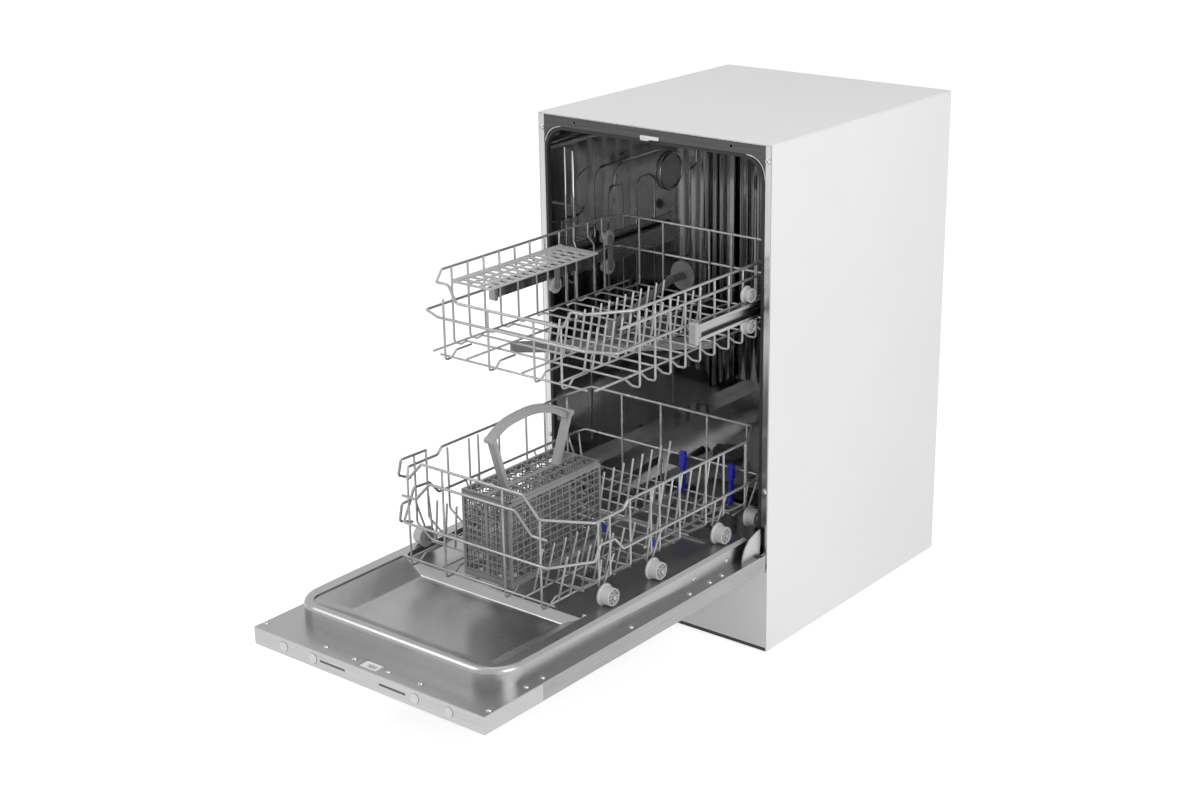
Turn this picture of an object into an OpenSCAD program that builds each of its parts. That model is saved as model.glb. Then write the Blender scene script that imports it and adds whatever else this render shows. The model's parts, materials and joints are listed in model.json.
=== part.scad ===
// Built-in dishwasher of the 45 cm class, door hanging open and both racks pulled out.
// X runs to the right seen from the front, Y to the back, Z up. The origin is on the floor,
// at the centre of the cabinet. Sizes are in millimetres.

/* [Cabinet] */
// Outer width of the cabinet
cab_w = 448; // [446:1:500]
// Outer depth of the cabinet, without the door
cab_d = 520; // [518:1:560]
// Outer height with the feet screwed in
cab_h = 815; // [812:1:840]
// Thickness of the outer sheet panels
panel_t = 2; // [1:0.5:3]
// Width of each upright strip of the front frame
strip_w = 10.3; // [8:0.1:12]
// Thickness of the front frame sheet
frame_t = 1.2; // [0.8:0.1:2]
// Depth of the folded edge behind the front frame
frame_fold = 9; // [6:1:14]
// Height of the cross bar over the opening
bar_h = 16.5; // [12:0.5:20]
// Height of the base tray
tray_h = 78; // [60:1:100]
// Wall of the base tray
tray_t = 3; // [2:0.5:4]
// Height of the kick plate
kick_h = 138; // [100:1:142]
// Thickness of the kick plate
kick_t = 1.5; // [1:0.5:3]

/* [Feet] */
// Radius of a foot pad
pad_r = 18; // [14:1:20]
// Height of a foot pad
pad_h = 7; // [5:1:10]
// Radius of a foot's screw
foot_r = 5; // [4:0.5:6]
// Length of a foot's screw
foot_len = 58; // [50:1:62]
// Distance of the feet from the tray's side walls
foot_inset = 34; // [30:1:45]

/* [Tub] */
// Gap between the tub's sides and the side panels
tub_side_gap = 14.5; // [13.5:0.5:15.5]
// Sheet thickness of the tub
tub_t = 1.5; // [1:0.1:2]
// Height of the tub roof inside
tub_roof = 791; // [780:1:794]
// Radius of the upper corners of the tub
tub_corner = 35; // [20:1:50]
// Gap between the tub's back and the back panel
back_gap = 8.5; // [8:0.5:16]
// Height of the tub floor inside
floor_z = 140; // [130:1:145]
// Width of the ledges that the lower wheels roll on
ledge_w = 27; // [24:1:30]
// Height of the front threshold over the tub floor
threshold_h = 30; // [20:1:35]
// Width of the door seal
seal_w = 5.3; // [4:0.1:6]
// Depth of the door seal
seal_d = 8; // [6:0.5:10]
// Width of a pressed panel in a tub wall
emboss_w = 95; // [80:1:100]
// How far a pressed panel stands out
emboss_h = 1.2; // [0.8:0.1:2]
// Radius of the flutes in the tub's back
flute_r = 7; // [5:0.5:9]
// Pitch of the flutes
flute_pitch = 34; // [28:1:50]

/* [Door] */
// Height of the flange of the open door over the floor
door_z = 169.5; // [165:0.5:172]
// Thickness of the door at its edge
door_t = 27.4; // [25:0.1:30]
// Length of the door from the hinge pin to its free end
door_len = 650; // [630:1:655]
// Gap between the door and the cabinet front
door_gap = 4.5; // [4:0.5:6]
// Sheet thickness of the door's outer panel
door_sheet = 1.2; // [1:0.1:2]
// Length of the control fascia's side
fascia_len = 120; // [100:1:140]
// Height of the liner's rim over the flange
rim_h = 31.5; // [28:0.5:34]
// Clearance of the liner's raised form to the tub's walls
liner_side_gap = 3; // [1:0.5:6]
// Radius of the liner's front corners
liner_corner = 52; // [30:1:60]
// Width of the rim that the lower wheels roll on
rim_w = 24.5; // [20:0.5:26]
// Sheet thickness of the liner
liner_t = 1.5; // [1:0.1:2]
// Distance of the raised form from the door's free end
liner_front = 51; // [46:1:60]
// Length of the front basin at its mouth
basin_len = 204; // [180:1:230]
// Depth of the front basin under the rim
basin_depth = 25; // [20:1:28]
// Slope width of the basin's walls
basin_slope = 42; // [34:1:46]
// Depth of the plateau under the rim
plateau_depth = 6.5; // [6:0.5:8]
// Radius of the hinge quadrant plates
quadrant_r = 48; // [40:1:52]
// Thickness of a hinge plate
quadrant_t = 2.5; // [2:0.1:3]
// Radius of the hinge pins
pin_r = 4; // [3:0.5:5]

/* [Controls] */
// Radius of a push button
button_r = 7.5; // [6:0.5:9]
// Travel of a push button
button_travel = 1.5; // [1:0.1:2.5]
// How far a button stands out of the fascia
button_out = 0.6; // [0.4:0.1:1.2]
// Length of an indicator window
window_len = 50; // [40:1:51]
// Height of an indicator window
window_h = 3; // [2:0.5:5]
// Clearance round a moving button
button_gap = 0.3; // [0.2:0.05:0.5]

/* [Racks] */
// Distance of both racks' rim wires from the tub's walls
rack_side_gap = 24; // [23:0.5:28]
// Radius of the rim wires
rim_wire = 2.2; // [1.8:0.1:2.5]
// Radius of the upright wires and tines
thin_wire = 1.7; // [1.4:0.1:2]
// Pitch of the upright wires
wire_pitch = 36; // [34:1:42]
// Depth of the upper rack
upper_d = 476; // [466:1:477]
// How far the upper rack stands out of the cabinet
upper_out = 334; // [320:1:336]
// Height of the upper rack's floor
upper_floor = 514; // [512:1:516]
// Height of the upper rack's walls
upper_wall = 112; // [105:1:118]
// Depth of the lower rack
lower_d = 470; // [450:1:471]
// How far the lower rack stands out of the cabinet
lower_out = 426; // [410:1:427]
// Height of the lower rack's floor
lower_floor = 219; // [218:0.5:222]
// Height of the lower rack's walls
lower_wall = 128; // [115:1:132]
// How far the lower rack's floor is drawn in under its walls
lower_tuck = 30; // [26:1:34]
// Height of the drawn-in stretch
tuck_h = 22; // [18:1:26]
// Height of the fixed tines
tine_h = 62; // [50:1:70]
// Height of the folding tines
fold_h = 92; // [70:1:96]

/* [Rails] */
// Height of the rail axis
rail_z = 562; // [558:1:566]
// Height of the telescopic rail
rail_h = 26; // [22:1:28]
// Depth of the rail's channel
rail_w = 9; // [8:0.5:10]
// Sheet thickness of the rail
rail_t = 1.3; // [1:0.1:1.6]
// Length of the rail
rail_len = 460; // [450:1:462]
// How far the rail stands out of the cabinet
rail_out = 148; // [140:1:150]
// Radius of the upper rollers
roller_r = 10.7; // [9:0.1:12]
// Radius of the lower wheels' tread
wheel_r = 14; // [12:0.5:15]
// Extra radius of a wheel's flange
flange_h = 3; // [2:0.5:3.5]
// Radius of the axle pins of rollers and wheels
axle_r = 2.4; // [2:0.1:3]
// Running clearance of a wheel on its pin
axle_gap = 0.08; // [0.05:0.01:0.1]

/* [Basket] */
// Width of the cutlery basket
basket_w = 92; // [80:1:96]
// Length of the cutlery basket
basket_len = 206; // [180:1:208]
// Height of the cutlery basket
basket_h = 134; // [110:1:136]
// Wall of the cutlery basket
basket_t = 2; // [1.6:0.1:2.4]
// Height of the arched handle over the lid
handle_h = 106; // [90:1:110]
// Pitch of the grid in the basket's walls
grid_pitch = 12.6; // [11:0.1:15]

/* [Spray] */
// Half length of the spray arms
arm_half = 157; // [140:1:159]
// Width of the spray arms
arm_w = 38; // [30:1:44]
// Thickness of the spray arms
arm_t = 11; // [9:0.5:12]
// Radius of the hub of the spray arms
hub_r = 24; // [20:1:28]

/* [Hidden] */

// Overrun of every cut past the face it opens
over = 1;
// Gap between two fitted sheets
fit = 0.2;
// Gap kept by pieces that move past each other
run_gap = 0.3;
// Sides of the plain wires
wire_sides = 6;
// Overlap of two wire stretches at a bend
wire_lap = 1;

cab_half = cab_w / 2;
skin_half = cab_half - panel_t;
tray_half = skin_half - fit;
tub_back_y = cab_d - panel_t - back_gap - tub_t;
tub_half = skin_half - tub_side_gap - tub_t;
liner_half = tub_half - liner_side_gap;
rack_half = tub_half - rack_side_gap;
tub_outer = tub_half + tub_t;
rim_z = door_z + rim_h;
door_bottom = door_z - door_t;
// The hinge axis lies just outside the cabinet's front and under the liner
pin_out = 7;
pin_drop_z = 6;
pin_y = -pin_out;
pin_z = door_z - pin_drop_z;
door_end = pin_y - door_len;
fascia_y = door_end + fascia_len;
opening_half = skin_half - fit - strip_w;
opening_top = cab_h - panel_t - fit - bar_h;

// Everything is drawn from the cabinet's front plane and then seated on the footprint's centre
module seated() {
  translate([0, -cab_d / 2, 0]) children();
}

// A block between two corners
module block(low, high) {
  translate(low) cube(high - low);
}

// A block that is symmetric about the middle plane
module mid_block(half, y0, y1, z0, z1) {
  block([-half, y0, z0], [half, y1, z1]);
}

// A copy on each side of the middle plane
module both_sides() {
  children();
  mirror([1, 0, 0]) children();
}

// A cylinder along X from x0 to x1
module pin_x(x0, x1, y, z, r) {
  translate([x0, y, z]) rotate([0, 90, 0]) cylinder(r = r, h = x1 - x0, $fn = 48);
}

// A cylinder along Y from y0 to y1
module pin_y_axis(x, y0, y1, z, r) {
  translate([x, y0, z]) rotate([-90, 0, 0]) cylinder(r = r, h = y1 - y0, $fn = 48);
}

// A flat outline in the XZ plane, drawn from y0 to y1
module along_y(y0, y1) {
  translate([0, y1, 0]) rotate([90, 0, 0]) linear_extrude(height = y1 - y0) children();
}

// A flat outline in the YZ plane, drawn from x0 to x1
module along_x(x0, x1) {
  translate([x0, 0, 0]) rotate([90, 0, 90]) linear_extrude(height = x1 - x0) children();
}

// A straight wire from a to b
module wire(a, b, r) {
  v = b - a;
  len = norm(v);
  translate(a)
    rotate([0, acos(v[2] / len), atan2(v[1], v[0])])
      translate([0, 0, -wire_lap])
        cylinder(r = r, h = len + 2 * wire_lap, $fn = wire_sides);
}

// A bent wire through a list of points, mitred at each bend. Each ring of the skin is the last one
// carried along its stretch to the plane that halves the next bend.
bend_sides = 8;
hint_shares = [0.1, 0.2, 1];

function unit(v) = v / norm(v);
function to_plane(ring, d, p, t) = [for (q = ring) q + d * (((p - q) * t) / (d * t))];
function carried(ring, path, d, t, i) = i == len(path)
  ? []
  : let (next = to_plane(ring, d[i - 1], path[i], t[i])) concat([next], carried(next, path, d, t, i + 1));

module bent_wire(path, r, closed = false) {
  n = len(path);
  last = closed ? n : n - 1;
  d = [for (i = [0 : last - 1]) unit(path[(i + 1) % n] - path[i])];
  t = [for (i = [0 : n - 1])
    closed || (i > 0 && i < n - 1) ? unit(d[(i + last - 1) % last] + d[i % last]) : d[min(i, last - 1)]];
  a = unit(cross(d[0], hint_shares));
  b = cross(a, d[0]);
  circle_points = [for (k = [0 : bend_sides - 1])
    path[0] + r * (cos(k * 360 / bend_sides) * a + sin(k * 360 / bend_sides) * b)];
  first = to_plane(circle_points, d[0], path[0], t[0]);
  rings = concat([first], carried(first, path, d, t, 1));
  polyhedron(
    points = [for (ring = rings) each ring],
    faces = concat(
      [for (i = [0 : last - 1], k = [0 : bend_sides - 1]) [
        i * bend_sides + k, i * bend_sides + (k + 1) % bend_sides,
        ((i + 1) % n) * bend_sides + (k + 1) % bend_sides, ((i + 1) % n) * bend_sides + k]],
      closed ? [] : [[for (k = [bend_sides - 1 : -1 : 0]) k],
        [for (k = [0 : bend_sides - 1]) (n - 1) * bend_sides + k]]));
}

// A rectangle with rounded upper corners, for the tub and its seal
module arch_outline(half, low, top, r) {
  translate([-half, low]) square([2 * half, top - low - r]);
  translate([-half + r, low]) square([2 * (half - r), top - low]);
  for (s = [-1, 1]) translate([s * (half - r), top - r]) circle(r = r, $fn = 64);
}

// Cabinet

module foot_places() {
  translate([-tray_half + foot_inset, foot_inset, 0]) children();
  translate([tray_half - foot_inset, foot_inset, 0]) children();
  translate([0, cab_d - panel_t - foot_inset, 0]) children();
}

module base_tray() {
  recess = run_gap + pad_h;
  color("dimgray") seated() difference() {
    union() {
      difference() {
        mid_block(tray_half, kick_t + fit, cab_d - panel_t - fit, 0, tray_h);
        mid_block(tray_half - tray_t, kick_t + tray_t, cab_d - panel_t - tray_t, tray_t, tray_h + over);
      }
      foot_places() cylinder(r = pad_r + tray_t, h = recess + 2 * tray_t, $fn = 64);
    }
    foot_places() translate([0, 0, -over]) cylinder(r = pad_r + run_gap, h = recess + over, $fn = 64);
    foot_places() cylinder(r = foot_r + axle_gap, h = tray_h, $fn = 48);
  }
}

module foot() {
  translate([0, 0, run_gap]) cylinder(r = pad_r, h = pad_h - run_gap, $fn = 64);
  translate([0, 0, pad_h - over]) cylinder(r = foot_r, h = foot_len + over, $fn = 48);
}

module foot_front_left() {
  color("silver") seated() translate([-tray_half + foot_inset, foot_inset, 0]) foot();
}

module foot_front_right() {
  color("silver") seated() translate([tray_half - foot_inset, foot_inset, 0]) foot();
}

module foot_rear() {
  color("silver") seated() translate([0, cab_d - panel_t - foot_inset, 0]) foot();
}

module side_panel() {
  block([skin_half, 0, 0], [cab_half, cab_d, cab_h - panel_t]);
}

module left_side_panel() {
  color("whitesmoke") seated() mirror([1, 0, 0]) side_panel();
}

module right_side_panel() {
  color("whitesmoke") seated() side_panel();
}

module top_panel() {
  color("whitesmoke") seated() mid_block(cab_half, 0, cab_d, cab_h - panel_t, cab_h);
}

vent_w = 60;
vent_h = 5;
vent_pitch = 14;

module back_panel() {
  color("gainsboro") seated() difference() {
    mid_block(skin_half - fit, cab_d - panel_t, cab_d, tray_h + fit, cab_h - panel_t - fit);
    for (side = [-1, 1], k = [1 : 6])
      translate([side * cab_half / 2 - vent_w / 2, cab_d - panel_t - over, cab_h - vent_w - k * vent_pitch])
        cube([vent_w, panel_t + 2 * over, vent_h]);
    pin_y_axis(inlet_x, cab_d - panel_t - over, cab_d + over, inlet_z, inlet_r + fit);
    pin_y_axis(drain_x, cab_d - panel_t - over, cab_d + over, inlet_z, drain_r + fit);
  }
}

// The two upright strips and the cross bar, one folded sheet
pin_drop = 18;
frame_low = door_z - pin_drop;
hinge_notch = 4.5;
fixing_r = 2.2;
fixing_pitch = 300;

module front_frame() {
  color("silver") seated() difference() {
    union() {
      difference() {
        mid_block(skin_half - fit, 0, frame_fold, frame_low, cab_h - panel_t - fit);
        mid_block(opening_half, -over, frame_fold + over, frame_low - over, opening_top);
        both_sides() block([opening_half + frame_t, frame_t, frame_low - over],
          [cab_half, frame_fold + over, cab_h]);
        mid_block(skin_half, frame_t, frame_fold + over, opening_top + frame_t, cab_h);
      }
    }
    for (side = [-1, 1])
      pin_y_axis(side * fixing_pitch / 2, -over, frame_fold, cab_h - panel_t - bar_h / 2, fixing_r);
    both_sides() block([opening_half - over, -over, frame_low - over],
      [opening_half + hinge_notch, frame_fold + over, pin_z + quadrant_r + 2 * run_gap]);
  }
  color("silver") seated() both_sides() hinge_ear();
}

// The ear that carries the door's pin, bent forward from the strip
module hinge_ear() {
  difference() {
    block([ear_x, pin_y - 1.3 * pin_r, frame_low + over], [ear_x + ear_t, frame_t, pin_z + 1.6 * pin_r]);
    pin_x(ear_x - over, ear_x + ear_t + over, pin_y, pin_z, pin_r + axle_gap);
  }
}

module kick_plate() {
  color("whitesmoke") seated() union() {
    mid_block(tray_half, 0, kick_t, pad_h, kick_h);
    mid_block(tray_half, 0, frame_fold, kick_h - kick_t, kick_h);
  }
}

// Tub

module tub_wrap() {
  arch_low = rim_z - ledge_drop;
  color("lightgray") seated() difference() {
    union() {
      along_y(seal_d, tub_back_y) difference() {
        arch_outline(tub_outer, arch_low, tub_roof + tub_t, tub_corner + tub_t);
        translate([0, -over]) arch_outline(tub_half, arch_low, tub_roof + over, tub_corner + over);
      }
    }
    pin_x(-tub_outer - over, -tub_half + over, vent_y, vent_z, vent_neck_r + run_gap);
  }
  color("lightgray") seated() both_sides() for (k = [0, 1])
    along_x(tub_half - emboss_h, tub_half) translate([emboss_y + k * (emboss_w + emboss_gap), emboss_z]) {
      square([emboss_w, emboss_w / 2]);
      translate([emboss_w / 2, emboss_w / 2]) circle(d = emboss_w, $fn = 64);
    }
}

emboss_y = 58;
emboss_gap = 15;
emboss_z = rail_z + 2 * rail_h;
ledge_drop = 3;

module tub_back() {
  color("lightgray") seated() difference() {
    union() {
      along_y(tub_back_y, tub_back_y + tub_t)
        arch_outline(tub_outer, floor_z - tub_t, tub_roof + tub_t, tub_corner + tub_t);
      intersection() {
        mid_block(tub_half, tub_back_y - flute_out, tub_back_y + tub_t, floor_z, tub_roof);
        for (k = [0 : 4])
          translate([(k + 0.8) * flute_pitch, tub_back_y - flute_out + flute_r, rim_z + wire_pitch])
            cylinder(r = flute_r, h = tub_roof - rim_z - 2 * wire_pitch, $fn = 48);
      }
    }
    pin_y_axis(feed_x, tub_back_y - over, tub_back_y + tub_t + over, feed_z, feed_r + fit);
  }
}

// The floor's cross section: a low middle and a ledge on each side for the wheels
module floor_section(half, low, ledge, edge) {
  polygon([
    [-half, ledge], [-edge, ledge], [-edge + basin_slope / 2, low], [edge - basin_slope / 2, low],
    [edge, ledge], [half, ledge], [half, ledge - tub_t], [edge + tub_t, ledge - tub_t],
    [edge - basin_slope / 2 + tub_t, low - tub_t], [-edge + basin_slope / 2 - tub_t, low - tub_t],
    [-edge - tub_t, ledge - tub_t], [-half, ledge - tub_t]
  ]);
}

ledge_edge = tub_half - ledge_w;

// The ledges start behind the closed door's rim, and the floor in front of them lies lower
step_y = 36;
step_rise = 6.5;
step_z = door_z + step_rise;

module tub_floor() {
  color("lightgray") seated() difference() {
    union() {
      along_y(step_y, tub_back_y) floor_section(tub_half, floor_z, rim_z, ledge_edge);
      along_y(seal_d, step_y + tub_t) floor_section(tub_half, floor_z, step_z, ledge_edge);
      both_sides() block([ledge_edge, step_y, step_z - tub_t], [tub_half, step_y + tub_t, rim_z]);
      both_sides() block([tub_half - tub_t, seal_d, step_z - tub_t], [tub_half, step_y + tub_t, rim_z]);
      along_y(seal_d, seal_d + tub_t) polygon([
        [-ledge_edge, step_z], [-ledge_edge + basin_slope / 2, floor_z - tub_t],
        [ledge_edge - basin_slope / 2, floor_z - tub_t], [ledge_edge, step_z],
        [ledge_edge - basin_slope / 2, floor_z + threshold_h],
        [-ledge_edge + basin_slope / 2, floor_z + threshold_h]
      ]);
    }
    translate([0, sump_y, floor_z - tub_t - over])
      cylinder(r = sump_r + fit, h = 2 * over + tub_t, $fn = 96);
    translate([salt_x, salt_y, floor_z - tub_t - over])
      cylinder(r = salt_neck_r + fit, h = 2 * over + tub_t, $fn = 64);
  }
}

module door_seal() {
  color("black") seated() along_y(-run_gap, seal_d - fit) difference() {
    arch_outline(opening_half - fit, rim_z, opening_top - fit, tub_corner + seal_w);
    translate([0, -over])
      arch_outline(opening_half - fit - seal_w, rim_z, opening_top - fit - seal_w + over, tub_corner);
  }
}

strike_w = 34;
strike_d = 12;
strike_t = 4;
tongue_w = 14;

module latch_strike() {
  low = opening_top + frame_t + fit;
  color("white") seated() union() {
    mid_block(strike_w / 2, -strike_t, 0, opening_top + fit, low + strike_t);
    mid_block(tongue_w / 2, -strike_t - strike_d, -strike_t + fit, low, low + strike_t / 2);
  }
}

// Rail guides: a plate on the tub wall, a neck and a head that the rail slides on
guide_y0 = 54;
guide_y1 = 332;
rail_side_gap = 7.5;
rail_x1 = tub_half - rail_side_gap;
rail_x0 = rail_x1 - rail_w;
lip_h = 4;
rail_in_h = rail_h - 2 * rail_t;
neck_h = rail_in_h - 2 * lip_h - 2 * run_gap;

module rail_guides() {
  color("silver") seated() both_sides() union() {
    block([tub_half - tub_t, guide_y0, rail_z - rail_h], [tub_half, guide_y1, rail_z + rail_h]);
    block([rail_x0 + rail_t + run_gap, guide_y0, rail_z - neck_h / 2],
      [tub_half, guide_y1, rail_z + neck_h / 2]);
    block([rail_x0 + rail_t + run_gap, guide_y0, rail_z - rail_in_h / 2 + run_gap],
      [rail_x1 - rail_t - run_gap, guide_y1, rail_z + rail_in_h / 2 - run_gap]);
  }
}

// Machinery under the tub
sump_y = 250;
sump_r = 76;
sump_wall = 3;
sump_low = 64;
filter_x = 30;
filter_y = 222;
filter_r = 28;
filter_h = 44;
spindle_r = 6;
arm_z = 160;
port_r = 14;

module sump() {
  color("dimgray") seated() difference() {
    union() {
      difference() {
        translate([0, sump_y, sump_low]) cylinder(r = sump_r, h = floor_z - sump_low, $fn = 96);
        translate([0, sump_y, sump_low + sump_wall])
          cylinder(r = sump_r - sump_wall, h = floor_z - sump_low - 2 * sump_wall, $fn = 96);
      }
      translate([0, sump_y, sump_low + over])
        cylinder(r = spindle_r + sump_wall, h = arm_z - sump_low - over - run_gap, $fn = 48);
      translate([0, sump_y, sump_low + over])
        cylinder(r = spindle_r, h = arm_z - sump_low + arm_t / 2, $fn = 48);
    }
    translate([filter_x, filter_y, floor_z - 2 * sump_wall])
      cylinder(r = filter_r + run_gap, h = 3 * sump_wall, $fn = 64);
  }
}

module filter_cup() {
  top = floor_z + sump_wall;
  grip_w = 5;
  grip_h = 11;
  color("slategray") seated() translate([filter_x, filter_y, 0]) union() {
    difference() {
      union() {
        translate([0, 0, top - filter_h]) cylinder(r = filter_r, h = filter_h, $fn = 64);
        translate([0, 0, floor_z + fit]) cylinder(r = filter_r + sump_wall, h = sump_wall - fit, $fn = 64);
      }
      translate([0, 0, top - filter_h + sump_wall])
        cylinder(r = filter_r - sump_wall, h = filter_h, $fn = 64);
    }
    translate([-filter_r + sump_wall / 2, -grip_w / 2, top - grip_w])
      cube([2 * filter_r - sump_wall, grip_w, grip_h]);
  }
}

motor_r = 38;
motor_len = 96;
motor_z = 52;
volute_r = 44;
volute_w = 34;

module wash_pump() {
  cy = sump_y - sump_r - volute_r - port_r;
  x1 = volute_w / 2;
  color("darkslategray") seated() union() {
    pin_x(-x1 - motor_len, -x1 + over, cy, motor_z, motor_r);
    pin_x(-x1, x1, cy, motor_z, volute_r);
    pin_y_axis(0, cy, sump_y - sump_r - run_gap, motor_z + volute_r / 2, port_r);
    block([-x1 - motor_len * 0.8, cy - motor_r / 2, tray_t],
      [-x1 - motor_len * 0.2, cy + motor_r / 2, motor_z]);
  }
}

module drain_pump() {
  r = motor_r / 2 + tray_t;
  color("darkslategray") seated() difference() {
    union() {
      translate([drain_x, sump_y + motor_r, tray_t]) cylinder(r = r, h = inlet_z, $fn = 64);
      pin_y_axis(drain_x, sump_y + motor_r, cab_d + over, inlet_z, drain_r - neck_relief);
      pin_y_axis(drain_x, cab_d, cab_d + inlet_len, inlet_z, drain_r);
    }
    pin_y_axis(drain_x, cab_d - panel_t, cab_d + inlet_len + over, inlet_z, drain_r - tray_t);
  }
}

flute_out = 1.5;
salt_x = -118;
salt_y = 380;
salt_neck_r = 26;
salt_lip = 5;

module softener_tank() {
  top = floor_z + salt_lip;
  color("whitesmoke") seated() difference() {
    union() {
      block([-tray_half + 4 * tray_t, sump_y + sump_r, tray_t],
        [-feed_r - 2 * tray_t, cab_d - panel_t - foot_inset - 2 * pad_r, floor_z - 4 * tub_t]);
      translate([salt_x, salt_y, tray_t]) cylinder(r = salt_neck_r, h = top - tray_t, $fn = 64);
    }
    translate([salt_x, salt_y, 2 * tray_t])
      cylinder(r = salt_neck_r - tray_t, h = top, $fn = 64);
  }
}

module salt_cap() {
  top = floor_z + salt_lip + fit;
  grip_w = 6;
  color("gray") seated() translate([salt_x, salt_y, 0]) union() {
    translate([0, 0, top]) cylinder(r = salt_neck_r + tray_t, h = salt_lip, $fn = 64);
    translate([0, 0, floor_z + run_gap]) difference() {
      cylinder(r = salt_neck_r + tray_t, h = salt_lip + over, $fn = 64);
      translate([0, 0, -over])
        cylinder(r = salt_neck_r + run_gap, h = top - floor_z - run_gap + over, $fn = 64);
    }
    translate([-salt_neck_r, -grip_w / 2, top]) cube([2 * salt_neck_r, grip_w, 2 * salt_lip]);
  }
}

inlet_inset = 52;
inlet_x = skin_half - inlet_inset;
inlet_z = 110;
inlet_r = 13.2;
inlet_len = 14;
// Each hose spigot stands behind the back panel on a neck relieved by this much
neck_relief = 0.5;
drain_x = sump_r + motor_r;
drain_r = 10;

module inlet_valve() {
  color("ivory") seated() difference() {
    union() {
      pin_y_axis(inlet_x, cab_d - panel_t - 2 * inlet_r, cab_d + over, inlet_z, inlet_r - neck_relief);
      pin_y_axis(inlet_x, cab_d, cab_d + inlet_len, inlet_z, inlet_r);
      block([inlet_x - inlet_r, cab_d - panel_t - 4 * inlet_r, inlet_z - inlet_r],
        [inlet_x + inlet_r, cab_d - panel_t - inlet_r, inlet_z + 2 * inlet_r]);
    }
    pin_y_axis(inlet_x, cab_d - panel_t, cab_d + inlet_len + over, inlet_z, inlet_r / 2);
  }
}

feed_r = 9;
feed_x = -42;
feed_z = 544;
feed_low = 100;

// The riser lies behind the tub, and its nozzle reaches through the tub's back
module feed_pipe() {
  color("gray") seated() union() {
    pin_y_axis(0, sump_y + sump_r + run_gap, cab_d - panel_t - feed_r, feed_low, feed_r);
    along_y(tub_back_y + tub_t + run_gap, cab_d - panel_t - run_gap) polygon([
      [feed_r, feed_low - feed_r], [feed_r, feed_low + feed_r], [feed_x + feed_r, feed_low - feed_x],
      [feed_x + feed_r, feed_z + feed_r], [feed_x - feed_r, feed_z + feed_r],
      [feed_x - feed_r, feed_low - feed_r - feed_x], [-feed_r, feed_low - feed_r]
    ]);
    pin_y_axis(feed_x, tub_back_y - flute_out, tub_back_y + 2 * tub_t, feed_z, feed_r);
  }
}

vent_y = 320;
vent_drop = 129;
vent_z = tub_roof - vent_drop;
vent_neck_r = 20;
vent_cap_r = 33;
vent_body_h = 300;
vent_body_w = 170;

module air_break() {
  color("gainsboro") seated() union() {
    block([-skin_half + run_gap, vent_y - vent_body_w / 2, vent_z + vent_cap_r - vent_body_h],
      [-tub_outer - run_gap, vent_y + vent_body_w / 2, vent_z + vent_cap_r]);
    pin_x(-tub_outer - over, -tub_half + over, vent_y, vent_z, vent_neck_r);
    pin_x(-tub_half + run_gap, -tub_half + sump_wall, vent_y, vent_z, vent_cap_r);
  }
}

// Spray arms: a slim twisted pair of wings with a hub and a row of jets
module spray_arm(low) {
  jet_r = 1.6;
  tip_share = 0.6;
  difference() {
    union() {
      translate([0, 0, low]) linear_extrude(height = arm_t) hull() {
        circle(r = arm_w / 2, $fn = 48);
        for (s = [-1, 1]) translate([s * (arm_half - arm_w * tip_share / 2), 0])
          circle(r = arm_w * tip_share / 2, $fn = 48);
      }
      translate([0, 0, low]) cylinder(r = hub_r, h = arm_t + sump_wall, $fn = 64);
    }
    for (s = [-1, 1], k = [1 : 6])
      translate([s * k * arm_half / 7, s * arm_w / 8, low - over])
        cylinder(r = jet_r, h = arm_t + 2 * over, $fn = 16);
  }
}

module lower_spray_arm() {
  color("gray") seated() translate([0, sump_y, 0]) difference() {
    spray_arm(arm_z);
    translate([0, 0, arm_z - over]) cylinder(r = spindle_r + axle_gap, h = arm_t / 2 + 2 * over, $fn = 48);
  }
}

// Door, drawn hanging open: the liner looks up and the outer panel looks down
module liner_plan(half, rear, front, r) {
  mirror([0, 1, 0]) arch_outline(half, rear, front, r);
}

flange_half = cab_half - fit;
form_rear = 24;
form_front = -door_end - liner_front;
rim_round = 3;

// The raised form, its top edge drawn in by the rounding
module raised_form(inset, low) {
  hull() {
    translate([0, 0, low]) linear_extrude(height = rim_z - rim_round - inset - low)
      liner_plan(liner_half - inset, form_rear + inset, form_front - inset, liner_corner - inset);
    translate([0, 0, low]) linear_extrude(height = rim_z - inset - low)
      liner_plan(liner_half - rim_round - inset, form_rear + rim_round + inset,
        form_front - rim_round - inset, liner_corner - rim_round - inset);
  }
}

// The basin in front of the rack's place: a wide mouth, slanted walls and a flat floor
basin_half = liner_half - rim_w;
basin_front = form_front - rim_w / 2;
basin_rear = basin_front - basin_len;
basin_back_slope = 8;

module front_basin(grow) {
  hull() {
    translate([0, 0, rim_z - plateau_depth / 2]) linear_extrude(height = plateau_depth)
      liner_plan(basin_half + grow, basin_rear - grow, basin_front + grow, liner_corner / 2 + grow);
    translate([0, 0, rim_z - basin_depth - grow]) linear_extrude(height = over)
      liner_plan(basin_half - basin_slope + grow, basin_rear + basin_back_slope - grow,
        basin_front - basin_slope + grow, liner_corner / 3 + grow);
  }
}

trough_y = 60;
trough_len = 65;
trough_depth = 4;

module plateau(grow) {
  translate([0, 0, rim_z - plateau_depth - grow]) linear_extrude(height = plateau_depth + over + grow)
    liner_plan(basin_half + grow, form_rear - over - grow, basin_rear + basin_back_slope + grow, rim_w);
  translate([0, 0, rim_z - plateau_depth - trough_depth - grow])
    linear_extrude(height = trough_depth + over + grow)
      liner_plan(basin_half - rim_w + grow, trough_y - grow, trough_y + trough_len + grow, rim_w);
}

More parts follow.
